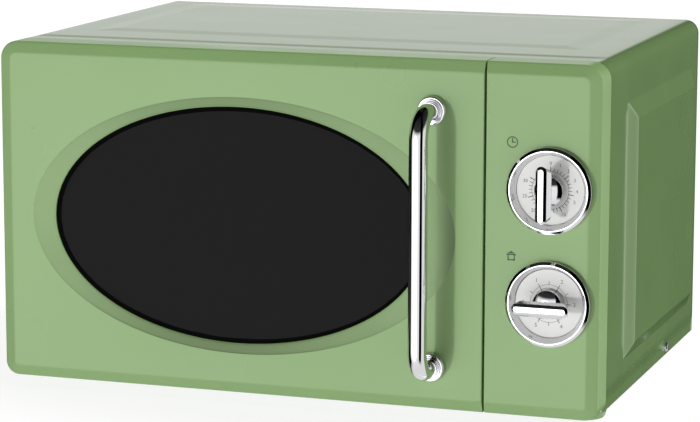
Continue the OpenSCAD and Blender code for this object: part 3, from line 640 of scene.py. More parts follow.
@dataclass
class CoverShell:
    """The folded outer cover: two sides and the top in one sheet, with pressings and a rear flange."""

    corner: float = 10.0
    sheet: float = 1.2
    side_rise: float = 4.5
    top_depth: float = 2.5
    top_rise: float = 0.6
    side_slopes: tuple[float, float, float, float] = (15.0, 10.0, 10.0, 13.0)
    top_slope: float = 16.0
    joggle_z: float = 20.8
    joggle: float = 0.5
    fold: float = 0.25
    flange: float = 11.0
    bevel_depth: float = 2.5
    side_run: tuple[float, float] = (79.0, 290.0)
    side_z: tuple[float, float] = (35.0, 219.0)
    top_x: tuple[float, float] = (-190.0, 185.0)
    top_run: tuple[float, float] = (88.0, 296.0)
    fold_run: float = 46.5

    RAMP = (0.0, 0.05, 0.11, 0.2, 0.35, 0.5, 0.65, 0.8, 0.89, 0.95, 1.0)
    JOGGLE_RUN = 1.2

    def __post_init__(self) -> None:
        """Takes the cover's size from its CAD node."""
        low, high = extent("outer_cover")
        self.half = high[0] - self.side_rise
        self.top = high[2] - self.top_depth
        self.low = low[2]
        self.front, self.back = low[1], high[1]
        edge = extent("door_frame")[0][1] + self.bevel_depth
        self.side_y = tuple(edge + run for run in self.side_run)
        self.top_y = tuple(edge + run for run in self.top_run)
        self.fold_y = edge + self.fold_run

    def stations(self, low: float, high: float, ramps: Sequence[tuple[float, float]], step: float = 9.0,
                 extra: Sequence[float] = ()) -> list[float]:
        """Places of grid lines between two ends.

        Args:
            low: first place.
            high: last place.
            ramps: foot and signed width of each slope.
            step: widest gap between lines.
            extra: further places that need a line.

        Returns:
            The places, in order.
        """
        marks = {low, high, *extra}
        for foot, width in ramps:
            marks |= {foot + width * t for t in self.RAMP}
            marks |= {foot - math.copysign(1.0, width), foot + width + math.copysign(1.0, width)}
        marks = sorted(m for m in marks if low <= m <= high)
        places = []
        for one, two in zip(marks, marks[1:]):
            parts = max(1, math.ceil((two - one) / step))
            places += [one + (two - one) * i / parts for i in range(parts)]
        return places + [marks[-1]]

    @staticmethod
    def ramp(*shares: float) -> float:
        """Height share of a pressing where the given ramps meet, with soft ends."""
        share = max(0.0, min(1.0, *shares))
        return share + 0.35 * (share * share * (3 - 2 * share) - share)

    def side_lift(self, y: float, z: float) -> float:
        """How far a side stands out at a place."""
        front, rear, foot, head = self.side_slopes
        share = self.ramp((y - self.side_y[0]) / front, (self.side_y[1] - y) / rear,
                          (z - self.side_z[0]) / foot, (self.side_z[1] - z) / head)
        step = max(0.0, min(1.0, (self.joggle_z - z) / self.JOGGLE_RUN))
        return self.side_rise * share - self.joggle * step

    def top_lift(self, x: float, y: float) -> float:
        """How far the top stands up at a place."""
        share = self.ramp((x - self.top_x[0]) / self.top_slope, (self.top_x[1] - x) / self.top_slope,
                          (y - self.top_y[0]) / self.top_slope, (self.top_y[1] - y) / self.top_slope)
        step = max(0.0, min(1.0, (self.fold_y - y) / 1.0))
        return self.top_rise * share - self.fold * step

    def outline(self) -> list[tuple[float, float, float, float, str]]:
        """Points up one side, over the top and down the other: x, z, the normal and the wall's name."""
        foot, head = self.side_slopes[2:]
        slopes = [(self.side_z[0], foot), (self.side_z[1], -head)]
        up = self.stations(self.low, self.top - self.corner, slopes,
                           extra=(self.joggle_z - self.JOGGLE_RUN, self.joggle_z))
        across = self.stations(-self.half + self.corner, self.half - self.corner,
                               [(self.top_x[0], self.top_slope), (self.top_x[1], -self.top_slope)])
        centre = self.half - self.corner
        level = self.top - self.corner
        arc = [math.radians(90 * i / 8) for i in range(1, 8)]
        left = [(-self.half, z, -1.0, 0.0, "side") for z in up]
        left += [(-centre - self.corner * math.cos(a), level + self.corner * math.sin(a), -math.cos(a),
                  math.sin(a), "bend") for a in arc]
        top = [(x, self.top, 0.0, 1.0, "top") for x in across]
        right = [(centre + self.corner * math.sin(a), level + self.corner * math.cos(a), math.sin(a),
                  math.cos(a), "bend") for a in arc]
        right += [(self.half, z, 1.0, 0.0, "side") for z in reversed(up)]
        return left + top + right

    def row(self, y: float, inset: float, lifted: bool) -> Ring:
        """One line of points across the sheet at a depth."""
        points = []
        for x, z, nx, nz, wall in self.outline():
            lift = 0.0
            if lifted and wall == "side":
                lift = self.side_lift(y, z)
            if lifted and wall == "top":
                lift = self.top_lift(x, y)
            points.append((x + nx * (lift - inset), y, z + nz * (lift - inset)))
        return points

    def build(self) -> None:
        """Makes the cover."""
        front_slope, rear_slope = self.side_slopes[:2]
        depths = self.stations(self.front, self.back - 2.0, [
            (self.side_y[0], front_slope), (self.side_y[1], -rear_slope),
            (self.top_y[0], self.top_slope), (self.top_y[1], -self.top_slope)],
            extra=(self.fold_y - 1.0, self.fold_y))
        outer = [self.row(y, 0.0, True) for y in depths]
        bend = [self.row(self.back - 2.0 + 2.0 * math.sin(a), 2.0 - 2.0 * math.cos(a), False)
                for a in (math.radians(30), math.radians(60), math.radians(90))]
        inside = self.back - self.sheet
        flange = [self.row(self.back, self.flange, False), self.row(inside, self.flange, False),
                  self.row(inside, self.sheet + 0.8, False)]
        inner = [self.row(y, self.sheet, True) for y in reversed(depths) if y < inside - 2]
        skin = Skin()
        skin.loft(outer + bend + flange + inner, closed=False, wrap=True)
        rows = len(outer + bend + flange + inner)
        width = len(self.outline())
        for column in (0, width - 1):
            self.close_end(skin, rows, width, column, len(outer) + len(bend))
        fit(skin.make("cover_shell", PAINTED_STEEL, 24), "cabinet", "green_steel", "outer_cover")

    @staticmethod
    def close_end(skin: Skin, rows: int, width: int, column: int, outer: int) -> None:
        """Closes the sheet's thickness along one of its two lower edges.

        Args:
            skin: the sheet.
            rows: lines of points round the sheet's section.
            width: points in a line.
            column: which point of each line is on the edge.
            outer: how many of the lines are on the outside.
        """
        edge = [row * width + column for row in range(rows)]
        front, rear = 0, rows - 1
        while rear - front > 1:
            if front < outer and skin.points[edge[front + 1]][1] <= skin.points[edge[rear]][1] + 1e-6:
                skin.faces.append((edge[front], edge[front + 1], edge[rear]))
                front += 1
            else:
                skin.faces.append((edge[front], edge[rear - 1], edge[rear]))
                rear -= 1


@dataclass
class Screws:
    """Pan head screws with a cross recess."""

    radius: float = 3.6
    height: float = 2.2
    recess: float = 1.9

    def head(self) -> bpy.types.Object:
        """One head about the origin, standing up along +Z."""
        skin = Skin()
        profile = fillet([(0, self.height, 0), (self.radius - 0.9, self.height, 0.9), (self.radius, 0.9, 0.9),
                          (self.radius, -0.1, 0), (0, -0.1, 0)], 3)
        skin.lathe(profile, (0, 0, 0), Axis.UP, 24, wrap=False)
        head = skin.make("screw_head", BRIGHT_STEEL)
        for long_x, long_y in ((self.recess, 0.45), (0.45, self.recess)):
            tool = Skin()
            block(tool, (-long_x, -long_y, self.height - 1.2), (long_x, long_y, self.height + 1))
            head = cut(head, tool, BRIGHT_STEEL)
        return head

    def build(self) -> None:
        """Makes the cover's screws at the CAD screws' places."""
        cover = CoverShell()
        places = []
        for low, high in solids("cover_screws"):
            middle = (low + high) / 2
            if abs(middle[0]) > 219:
                side = math.copysign(1.0, middle[0])
                places.append(((side * (cover.half - 0.4), middle[1], middle[2]), (side, 0, 0)))
            else:
                places.append(((middle[0], cover.back - 0.1, middle[2]), (0, 1, 0)))
        piece = aimed_copies("cover_screw_heads", self.head(), places, BRIGHT_STEEL)
        fit(piece, "cabinet", "zinc_steel", "cover_screws")


@dataclass
class Feet:
    """Two tapered front feet and two round rear feet with ribbed soles."""

    ribs: int = 3

    def foot(self, skin: Skin, low: np.ndarray, high: np.ndarray, taper: float) -> None:
        """Adds one foot inside its CAD solid's box."""
        centre = ((low[0] + high[0]) / 2, (low[1] + high[1]) / 2, 0.0)
        top = (high[0] - low[0]) / 2
        sole = top - taper
        height = 9.0
        corners = [(0, height, 0), (top, height, 0.5), (sole + 0.5, 1.4, 0.6), (sole - 0.4, 0, 0.7)]
        for rib in range(self.ribs):
            out = sole - 2.2 - rib * 3.2
            corners += [(out, 0, 0.2), (out - 0.3, 0.8, 0.2), (out - 1.3, 0.8, 0.2), (out - 1.6, 0, 0.2)]
        skin.lathe(fillet(corners + [(0, 0, 0)], 3), centre, Axis.UP, 48, wrap=False)

    def build(self) -> None:
        """Makes both pairs."""
        for node, name, finish, slot, taper in (
                ("front_feet", "front_foot_pads", PAINTED_ABS, "green_moulding", 2.5),
                ("rear_feet", "rear_foot_pads", BLACK_NYLON, "black_plastic", 2.0)):
            skin = Skin()
            for low, high in solids(node):
                self.foot(skin, low, high, taper)
            fit(skin.make(name, finish), "cabinet", slot, node)


@dataclass
class CordBush:
    """Rubber bush round the mains inlet, with a ribbed grip."""

    bore: float = 3.7

    def build(self) -> None:
        """Makes the bush on the CAD bush's axis."""
        low, high = extent("cord_bush")
        centre = ((low[0] + high[0]) / 2, low[1], (low[2] + high[2]) / 2)
        deep = high[1] - low[1]
        wide = (high[0] - low[0]) / 2
        corners = [(self.bore, 0, 0.5), (wide, 0, 0.8), (wide, 9, 0.5), (9, 9, 0.1), (9, 10.2, 0.1),
                   (wide, 10.2, 0.4), (wide, deep - 0.8, 0.8), (7.2, deep, 0.8), (self.bore, deep, 0.6)]
        skin = Skin()
        skin.lathe(fillet(corners, 3, closed=True), centre, Axis.BACK, 48)
        fit(skin.make("mains_inlet_bush", BLACK_NYLON), "cabinet", "black_plastic", "cord_bush")


# ---- Front mouldings ----

@dataclass
class FrontMoulding:
    """The bevelled moulding that the door and the control panel share."""

    node: str
    round_left: bool
    bevel: float = 8.4
    bevel_depth: float = 2.5
    radius_top: float = 13.0
    radius_low: float = 10.0
    wall: float = 2.5
    skin_depth: float = 3.0
    split_radius: float = 0.7

    def __post_init__(self) -> None:
        """Takes the moulding's size from its CAD node."""
        low, high = extent(self.node)
        self.x0, self.face, self.z0 = low
        self.x1, self.rear, self.z1 = high

    def corner(self, index: int, inset: float, split: float, steps: int) -> list[Pair]:
        """One corner of the outline: 0 top left, 1 bottom left, 2 bottom right, 3 top right."""
        left, top = index in (0, 1), index in (0, 3)
        rounded = left == self.round_left
        x_inset = inset if rounded else split
        x = self.x0 + x_inset if left else self.x1 - x_inset
        z = self.z1 - inset if top else self.z0 + inset
        if not rounded:
            return [(x, z)]
        radius = max(0.3, (self.radius_top if top else self.radius_low) - inset)
        x += radius if left else -radius
        z += -radius if top else radius
        first = (90, 180, 270, 0)[index]
        turned = [math.radians(first + 90 * step / steps) for step in range(steps + 1)]
        return [(x + radius * math.cos(a), z + radius * math.sin(a)) for a in turned]

    def outline(self, inset: float, split: float, steps: int = 10) -> list[Pair]:
        """Anticlockwise outline, seen from the front, with its long sides divided.

        Args:
            inset: how far in from the edge.
            split: how far in from the side that faces the other moulding.
            steps: flats in each round corner.

        Returns:
            The points, the same number at any inset.
        """
        corners = [self.corner(i, inset, split, steps) for i in range(4)]
        points: list[Pair] = []
        for i in range(4):
            points += corners[i]
            start, end = np.array(corners[i][-1]), np.array(corners[(i + 1) % 4][0])
            parts = 48 if i in (1, 3) else 34
            points += [tuple(start + (end - start) * t / parts) for t in range(1, parts)]
        return points

    def split_at(self, inset: float, depth: float) -> float:
        """How far the side that faces the other moulding is rounded at a ring."""
        if depth <= 1e-4:
            return self.split_radius + max(0.0, inset - self.bevel - 0.8)
        gone = max(0.0, self.split_radius - depth)
        return self.split_radius - math.sqrt(self.split_radius ** 2 - gone ** 2)

    def section(self) -> list[Pair]:
        """Inset and depth of each ring from the inner rear edge round to the flat front."""
        deep = self.rear - self.face
        return fillet([(self.wall, deep, 0), (0.0, deep, 0.5), (0.0, self.bevel_depth, 1.6),
                       (self.bevel, 0.0, 7.0), (self.bevel + 3.0, 0.0, 0)], 5)[:-1]

    def place(self, point: Pair, depth: float) -> tuple[float, float, float]:
        """Puts an outline point at a depth behind the face."""
        return (point[0], self.face + depth, point[1])

    def rings(self) -> list[Ring]:
        """The outside's rings, from the rear edge to the flat front."""
        return [[self.place(point, depth) for point in self.outline(inset, self.split_at(inset, depth))]
                for inset, depth in self.section()]

    def inner(self, depth: float) -> Ring:
        """A ring on the inside of the walls."""
        return [self.place(point, depth) for point in self.outline(self.wall, self.wall)]


@dataclass
class DoorMoulding(FrontMoulding):
    """The door's moulding, with a dished oval border round the window."""

    dish: tuple[float, float] = (159.4, 92.0)
    window: tuple[float, float] = (140.4, 85.0)
    dish_x: float = -38.5
    window_x: float = -41.0
    centre_z: float = 129.0
    dish_depth: float = 2.0
    hinge_radius: float = 6.0
    hinge_reach: float = 4.6
    bracket_z: tuple[float, float] = (20.5, 241.5)
    seal_and_shade_width: float = 3.4
    # Shift of the seal's lip to the right, which widens its black on the left as painted shade of the recess wall
    painted_shade_shift: float = 0.7

    def __post_init__(self) -> None:
        """Adds the hinge axis to the moulding's size."""
        super().__post_init__()
        axis = [joint for joint in frame["joints"] if joint["name"] == "door_hinge"][0]
        self.hinge_x, self.hinge_y = axis["pos_m"][0] / MM, axis["pos_m"][1] / MM

    def place(self, point: Pair, depth: float) -> tuple[float, float, float]:
        """Puts an outline point at a depth, with the left rear edge rounded about the hinge."""
        x, z = point
        y = self.face + depth
        if x < self.hinge_x and y > self.hinge_y:
            y = self.hinge_y + (y - self.hinge_y) / (self.rear - self.hinge_y) * self.hinge_reach
            x = max(x, self.hinge_x - math.sqrt(self.hinge_radius ** 2 - (y - self.hinge_y) ** 2))
        return (x, y, z)

    def oval(self, share: float, depth: float, angles: Sequence[float]) -> Ring:
        """A ring between the dish's edge, at share 0, and the window's, at 1."""
        a = self.dish[0] + (self.window[0] - self.dish[0]) * share
        b = self.dish[1] + (self.window[1] - self.dish[1]) * share
        x = self.dish_x + (self.window_x - self.dish_x) * share
        return [(x + a * math.cos(t), self.face + depth, self.centre_z + b * math.sin(t)) for t in angles]

    def finish_dish(self, piece: bpy.types.Object) -> None:
        """Gives the dished border its pearl finish."""
        piece.data.materials.append(DISH_ABS.material())
        for face in piece.data.polygons:
            x, y, z = face.center / MM
            reach = math.hypot((x - self.dish_x) / self.dish[0], (z - self.centre_z) / self.dish[1])
            if reach < 1.0 and y < self.face + self.dish_depth:
                face.material_index = 1

    def build(self) -> None:
        """Makes the door's moulding and cuts the slots for the hinge brackets."""
        flat = self.outline(self.bevel + 1.2, self.split_at(self.bevel + 1.2, 0))
        angles = [math.atan2((z - self.centre_z) / self.dish[1], (x - self.dish_x) / self.dish[0])
                  for x, z in flat]
        deep = self.dish_depth
        ramp = [(-0.03, 0.0), (0.0, 0.04), (0.03, 0.12), (0.07, 0.22), (0.15, 0.38)]
        ramp += [(share, 0.38 + (share - 0.15) * 1.87) for share in (0.3, 0.5, 0.7, 0.9)]
        ramp += [(0.96, 0.96 * deep), (1.0, deep + 0.08), (1.018, deep + 0.25), (1.025, deep + 0.6),
                 (1.025, self.skin_depth)]
        skin = Skin()
        skin.loft(self.rings() + [self.oval(share, depth, angles) for share, depth in ramp]
                  + [self.inner(self.skin_depth)] + [self.inner(d) for d in (8.0, 14.0, 19.5)], wrap=True)
        tool = Skin()
        for z in self.bracket_z:
            block(tool, (self.x0 - 1, self.hinge_y - 4, z - 2), (self.hinge_x + 1, self.rear + 1, z + 2))
        piece = skin.make("door_moulding", PAINTED_ABS)
        piece = cut(piece, tool, PAINTED_ABS)
        self.finish_dish(piece)
        fit(piece, "door", "green_moulding", "door_frame")
        self.make_seal_and_shade()

    def make_seal_and_shade(self) -> None:
        """Makes the thin black seal edging the window's glass, widened on the left as painted shade."""
        glass = extent("door_glass")[0][1]
        angles = [2 * math.pi * i / 160 for i in range(160)]
        edge = self.oval(1.02, 0.0, angles)
        # The lip sits off centre, so the wider left side of the black ring is painted shade
        lip = [(self.window_x + self.painted_shade_shift + (self.window[0] - self.seal_and_shade_width) * math.cos(t), 0.0,
                self.centre_z + (self.window[1] - self.seal_and_shade_width) * math.sin(t)) for t in angles]
        rings = [[(x, glass - rise, z) for x, _, z in ring]
                 for ring, rise in ((edge, 0.02), (edge, 0.3), (lip, 0.3), (lip, 0.02))]
        skin = Skin()
        skin.loft(rings, wrap=True)
        fit(skin.make("window_seal", SEAL_AND_SHADE_BLACK), "door", "black_plastic")


@dataclass
class PanelMoulding(FrontMoulding):
    """The control panel's moulding, with two round recesses and two printed pictures."""

    recess: float = 29.25
    recess_depth: float = 1.5
    hole: float = 8.0
    icon_x: float = 161.0
    clock_z: float = 199.4
    pot_z: float = 120.0

    INK = 0.05
    HANDS = ((-0.4, -0.4, 0.4, 2.9), (-0.4, -0.4, 2.4, 0.4))
    POT = ((-2.6, -2.6, 2.6, -1.7), (-2.6, -2.6, -1.8, 2.0), (1.8, -2.6, 2.6, 2.0), (-3.4, 1.2, 3.4, 2.1),
           (-0.7, 3.0, 0.7, 4.0), (-2.2, 2.4, 2.2, 3.2))

    def build(self) -> None:
        """Makes the panel's moulding and its prints."""
        skin = Skin()
        rings = [skin.ring(ring) for ring in self.rings()]
        for one, two in zip(rings, rings[1:]):
            skin.bridge(one, two)
        skin.faces.append(tuple(rings[-1]))
        floor = [skin.ring(self.inner(d)) for d in (self.skin_depth, 12.0, self.rear - self.face - 0.6)]
        for one, two in zip(floor, floor[1:]):
            skin.bridge(one, two)
        skin.bridge(floor[-1], rings[0])
        skin.faces.append(tuple(floor[0]))
        piece = skin.make("panel_moulding", PAINTED_ABS)
        for low, high in solids("dial_rings"):
            centre = ((low[0] + high[0]) / 2, self.face, (low[2] + high[2]) / 2)
            tool = Skin()
            tool.lathe([(0, 1.0), (self.recess, 1.0), (self.recess, -self.recess_depth), (self.hole,
                       -self.recess_depth), (self.hole, -6.0), (0, -6.0)], centre, Axis.FRONT, 96, wrap=False)
            piece = cut(piece, tool, PAINTED_ABS)
        fit(piece, "cabinet", "green_moulding", "control_panel")
        fit(self.prints(), "cabinet", "black_plastic")

    def prints(self) -> bpy.types.Object:
        """A clock over the timer and a cooking pot over the power dial, as thin pad prints."""
        skin = Skin()
        y = self.face
        clock = (self.icon_x, y, self.clock_z)
        ink = self.INK
        skin.lathe([(4.0, 0.0), (4.0, ink), (3.2, ink), (3.2, 0.0)], clock, Axis.FRONT, 48)
        for strokes, z in ((self.HANDS, self.clock_z), (self.POT, self.pot_z)):
            for left, low, right, high in strokes:
                block(skin, (self.icon_x + left, y - ink, z + low), (self.icon_x + right, y, z + high))
        return skin.make("panel_pictures", PANEL_INK)


@dataclass
class DoorScreen:
    """The pierced steel screen with its folded choke walls."""

    pitch: float = 3.4
    hole: float = 1.15
    sheet: float = 0.8
    field_top: float = 201.5
    field_low: float = 57.0
    field_x: tuple[float, float] = (-185.0, 105.0)
    choke: float = 15.0
    choke_wall: float = 1.2

    def tile(self, wide: float, high: float) -> bpy.types.Object:
        """One square of sheet with an eight sided hole, in the XZ plane about the origin."""
        outer = [(sx * wide / 2, sz * high / 2) for sx, sz in ((1, 0), (1, 1), (0, 1), (-1, 1), (-1, 0),
                                                               (-1, -1), (0, -1), (1, -1))]
        inner = [(self.hole * math.cos(math.radians(45 * i)), self.hole * math.sin(math.radians(45 * i)))
                 for i in range(8)]
        half = self.sheet / 2
        skin = Skin()
        skin.loft([[(x, y, z) for x, z in ring] for ring, y in (
            (outer, half), (inner, half), (inner, -half), (outer, -half))])
        return skin.make("screen_tile", BLACK_ENAMEL)

    def build(self) -> None:
        """Makes the screen's field of holes, its plain border and its choke walls."""
        low, high = extent("door_screen")
        y = low[1] + 0.6
        columns = int((self.field_x[1] - self.field_x[0]) / self.pitch)
        rows = int((self.field_top - self.field_low) / self.pitch)
        wide = (self.field_x[1] - self.field_x[0]) / columns
        tall = (self.field_top - self.field_low) / rows
        tile = self.tile(wide, tall)
        centre = (sum(self.field_x) / 2 * MM, y * MM, (self.field_low + self.field_top) / 2 * MM)
        field = grow("pierced_field", grid_tree(), {
            "Tile": tile, "Width": (columns - 1) * wide * MM, "Height": (rows - 1) * tall * MM,
            "Columns": columns, "Rows": rows, "Centre": centre, "Material": BLACK_ENAMEL.material()})
        bpy.data.objects.remove(tile)
        fit(dress(field, BLACK_ENAMEL), "door", "zinc_steel", "door_screen")
        skin = Skin()
        fx0, fx1 = self.field_x
        fz0, fz1 = self.field_low, self.field_top
        half = self.sheet / 2
        field_ring = [(fx0, fz0), (fx1, fz0), (fx1, fz1), (fx0, fz1)]

        def frame_ring(inset: float, depth: float, base: Sequence[Pair] | None = None) -> Ring:
            """A rectangle of the frame at an inset and a depth."""
            points = base or [(low[0] + inset, low[2] + inset), (high[0] - inset, low[2] + inset),
                              (high[0] - inset, high[2] - inset), (low[0] + inset, high[2] - inset)]
            return [(px, depth, pz) for px, pz in points]

        rear = high[1] - 0.1
        choke, wall = self.choke, self.choke_wall
        skin.loft([frame_ring(0, y - half, field_ring), frame_ring(0.4, y - half), frame_ring(0, y),
                   frame_ring(0, rear), frame_ring(wall, rear), frame_ring(wall, y + half),
                   frame_ring(choke, y + half), frame_ring(choke, rear - 2.0),
                   frame_ring(choke + wall, rear - 2.0), frame_ring(choke + wall, y + half),
                   frame_ring(0, y + half, field_ring)], wrap=True)
        fit(skin.make("screen_border_and_choke", BLACK_ENAMEL), "door", "zinc_steel")


# ---- Chrome ----

@dataclass
class Handle:
    """The chrome tube handle and its two rounded rosettes."""

    bend: float = 18.0
    bend_steps: int = 14
    segments: int = 40

    def path(self, face: float, y: float, ends: Sequence[float]) -> list[Corner]:
        """Stations along the tube: depth, height and heading in degrees.

        Args:
            face: depth of the door's face.
            y: depth of the grip's centre line.
            ends: heights of the lower and the upper rosette.

        Returns:
            The stations, from the lower end to the upper one.
        """
        bend = self.bend
        low, high = ends
        turns = [90 * step / self.bend_steps for step in range(self.bend_steps + 1)]
        stations = [(face, low, 180.0), (face - 3, low, 180.0), (y + bend + 0.5, low, 180.0)]
        stations += [(y + bend - bend * math.sin(math.radians(turn)),
                      low + bend - bend * math.cos(math.radians(turn)), 180.0 - turn) for turn in turns]
        span = high - low - 2 * bend
        stations += [(y, low + bend + span * share, 90.0) for share in (0.01, 0.25, 0.5, 0.75, 0.99)]
        stations += [(y + bend - bend * math.cos(math.radians(turn)),
                      high - bend + bend * math.sin(math.radians(turn)), 90.0 - turn) for turn in turns]
        return stations + [(y + bend + 0.5, high, 0.0), (face - 3, high, 0.0), (face, high, 0.0)]

    def build(self) -> None:
        """Makes the tube and the rosettes."""
        low, high = extent("handle")
        radius = (high[0] - low[0]) / 2
        x = (low[0] + high[0]) / 2
        face = extent("door_frame")[0][1]
        ends = [(box[0][2] + box[1][2]) / 2 for box in solids("handle_rosettes")]
        side = np.array((1.0, 0.0, 0.0))
        angles = [2 * math.pi * i / self.segments for i in range(self.segments)]
        skin = Skin()
        rings = []
        for depth, height, heading in self.path(face, low[1] + radius, ends):
            tangent = np.array((0.0, math.cos(math.radians(heading)), math.sin(math.radians(heading))))
            across = np.cross(tangent, side)
            spot = np.array((x, depth, height))
            rings.append([spot + radius * (side * math.cos(t) + across * math.sin(t)) for t in angles])
        skin.loft(rings, caps=True)
        fit(skin.make("tube_handle", CHROME, 40), "door", "chrome_trim", "handle")
        rosettes = Skin()
        for z in ends:
            rosettes.lathe(fillet([
                (radius + 0.05, 0, 0), (10.5, 0, 0.1), (10.5, 2.8, 1.6), (9.6, 4.5, 1.2), (8.0, 4.5, 1.2),
                (7.0, 3.2, 0.6), (radius + 0.05, 3.0, 0)], 4, 0.15),
                (x, face, z), Axis.FRONT, 72)
        fit(rosettes.make("handle_rosette_pair", CHROME), "door", "chrome_trim", "handle_rosettes")


@dataclass
class Dial:
    """One control: its knob, and its printed scale on the silver plate."""

    name: str
    upright: bool
    lean: float = 0.5
    hub: float = 10.2
    hub_foot: float = 2.0
    hub_rim: float = 5.5
    hub_cap: float = 3.8

    FLANK = ((2.6, 8.0, 0), (3.4, 12.0, 0), (5.4, 19.6, 0.4), (3.9, 24.4, 0.4), (1.8, 26.0, 0.4),
             (1.2, 26.0, 0))
    END = ((15.5, 12.0, 0), (16.5, 13.0, 0), (18.5, 20.5, 0.4), (20.0, 24.3, 0.4), (18.0, 26.0, 0.4),
           (17.4, 26.0, 0))

    def __post_init__(self) -> None:
        """Takes the dial's centre from the knob's CAD node."""
        low, high = extent(self.name + "_knob")
        self.centre = ((low[0] + high[0]) / 2, extent("door_frame")[0][1], (low[2] + high[2]) / 2)
        self.plate = extent("dial_plates")[0][1]

    def build(self) -> None:
        """Makes the knob and the print."""
        x, face, z = self.centre
        skin = Skin()
        rings = []
        flank, end = fillet(self.FLANK, 4, 0.15), fillet(self.END, 4, 0.15)
        for (wide, height), (long, end_height) in zip(flank, end):
            lean = self.lean * max(0.0, wide - 3.9) / 1.5
            ring = []
            for aside, along in bar_outline(wide, long, min(wide, 4.6), 7):
                share = max(0.0, abs(along) / long - 0.9) * 10
                y = face - height - (end_height - height) * share
                if self.upright:
                    ring.append((x + aside + lean, y, z + along))
                else:
                    ring.append((x + along, y, z - aside - lean))
            rings.append(ring)
        skin.loft(rings, caps=True)
        blade = skin.make(self.name + "_blade", CHROME, 26)
        hub = Skin()
        bulge = math.hypot(self.hub, self.hub_cap) ** 2 / (2 * self.hub_cap)
        centre = self.hub_rim + self.hub_cap - bulge
        dome = [(self.hub * t, centre + math.sqrt(bulge ** 2 - (self.hub * t) ** 2))
                for t in (0.98, 0.9, 0.8, 0.7, 0.6, 0.5, 0.4, 0.3, 0.2, 0.1, 0.0)]
        hub.lathe([(0.0, self.hub_foot), (self.hub, self.hub_foot), (self.hub, self.hub_rim - 0.6),
                   (self.hub - 0.1, self.hub_rim - 0.2)] + dome, self.centre, Axis.FRONT, 72, wrap=False)
        piece = join(self.name + "_control_knob", [blade, hub.make(self.name + "_hub", CHROME, 40)], CHROME)
        fit(piece, self.name, "chrome_trim", self.name + "_knob")
        self.print_scale()

    def ticks(self, name: str, count: int, radius: float, first: float, step: float,
              size: tuple[float, float]) -> bpy.types.Object:
        """Ticks on an arc: angles in degrees, sizes in millimetres."""
        x, _, z = self.centre
        return grow(name, ticks_tree(), {
            "Count": count, "Radius": radius * MM, "First angle": math.radians(first),
            "Step angle": math.radians(step), "Tick": (size[0] * MM, 0.06 * MM, size[1] * MM),
            "Centre": (x * MM, (self.plate - 0.02) * MM, z * MM), "Material": DIAL_INK.material()})

    def numeral(self, text: str, radius: float, angle: float, size: float) -> bpy.types.Object:
        """One numeral on the plate."""
        x, _, z = self.centre
        curve = bpy.data.curves.new("numeral", "FONT")
        curve.body, curve.size, curve.extrude = text, size * MM, 0.03 * MM
        curve.align_x, curve.align_y = "CENTER", "CENTER"
        curve.resolution_u = 2
        source = bpy.data.objects.new("numeral_curve", curve)
        bpy.context.scene.collection.objects.link(source)
        graph = bpy.context.evaluated_depsgraph_get()
        mesh = bpy.data.meshes.new_from_object(source.evaluated_get(graph), depsgraph=graph)
        bpy.data.objects.remove(source)
        turn = math.radians(angle)
        spot = (x + radius * math.cos(turn), self.plate - 0.02, z + radius * math.sin(turn))
        mesh.transform(Matrix.Translation(Vector(spot) * MM) @ Matrix.Rotation(math.radians(90), 4, "X"))
        piece = bpy.data.objects.new("numeral", mesh)
        bpy.context.scene.collection.objects.link(piece)
        return piece

    def print_scale(self) -> None:
        """Prints a timer scale in minutes, or six power steps."""
        x, _, z = self.centre
        parts = []
        circle = Skin()
        spot = (x, self.plate, z)
        if self.name == "timer":
            circle.lathe([(13.2, 0.0), (13.2, 0.05), (12.95, 0.05), (12.95, 0.0)], spot, Axis.FRONT, 96)
            parts += [self.ticks("minor_marks", 31, 14.0, 90, -10, (2.6, 0.4)),
                      self.ticks("major_marks", 7, 14.6, 90, -50, (4.0, 0.55))]
            parts += [self.numeral(text, 18.6, 90 - 300 * share, 3.5) for text, share in (
                ("0", 0.0), ("1", 0.07), ("2", 0.14), ("3", 0.22), ("4", 0.3), ("5", 0.38), ("10", 0.5),
                ("15", 0.62), ("20", 0.73), ("25", 0.85), ("30", 0.96))]
        else:
            for radius in (10.9, 13.3):
                within = radius - 0.25
                circle.lathe([(radius, 0.0), (radius, 0.05), (within, 0.05), (within, 0.0)], spot,
                             Axis.FRONT, 96)
            parts += [self.ticks("step_marks", 6, 12.6, 120, -60, (5.4, 0.5)),
                      self.ticks("half_marks", 6, 14.4, 90, -60, (2.4, 0.4))]
            parts += [self.numeral(str(step + 1), 18.0, 120 - 60 * step, 4.0) for step in range(6)]
        parts.append(circle.make("dial_circle", DIAL_INK))
        fit(join(self.name + "_dial_print", parts, DIAL_INK), "cabinet", "black_plastic")


@dataclass
class DialRings:
    """The chrome rings round both dials, and the silver plates inside them."""

    def build(self) -> None:
        """Makes both rings and both plates."""
        face = extent("door_frame")[0][1]
        rings, plates = Skin(), Skin()
        plate_low, _ = extent("dial_plates")
        for low, high in solids("dial_rings"):
            centre = ((low[0] + high[0]) / 2, face, (low[2] + high[2]) / 2)
            out = (high[0] - low[0]) / 2
            rings.lathe(fillet([
                (24.1, -1.5, 0), (out, -1.5, 0), (out, 0.05, 0), (out + 0.8, 0.05, 0), (out + 0.8, 4.4, 0.4),
                (out - 0.8, 5.7, 0.3), (out - 1.3, 6.1, 0.5), (out - 2.3, 6.0, 0.7), (24.4, 0.3, 0.3),
                (24.1, 0.2, 0)], 5, 0.1), centre, Axis.FRONT, 128)
            plates.lathe(fillet([
                (6.2, -1.5, 0), (24.0, -1.5, 0), (24.0, face - plate_low[1] - 0.3, 0.2),
                (23.6, face - plate_low[1], 0.2), (6.2, face - plate_low[1], 0)], 3, 0.2),
                centre, Axis.FRONT, 96)
        fit(rings.make("dial_ring_pair", CHROME), "cabinet", "chrome_trim", "dial_rings")
        fit(plates.make("dial_plate_pair", DIAL), "cabinet", "dial_silver", "dial_plates")


# ---- Inside ----

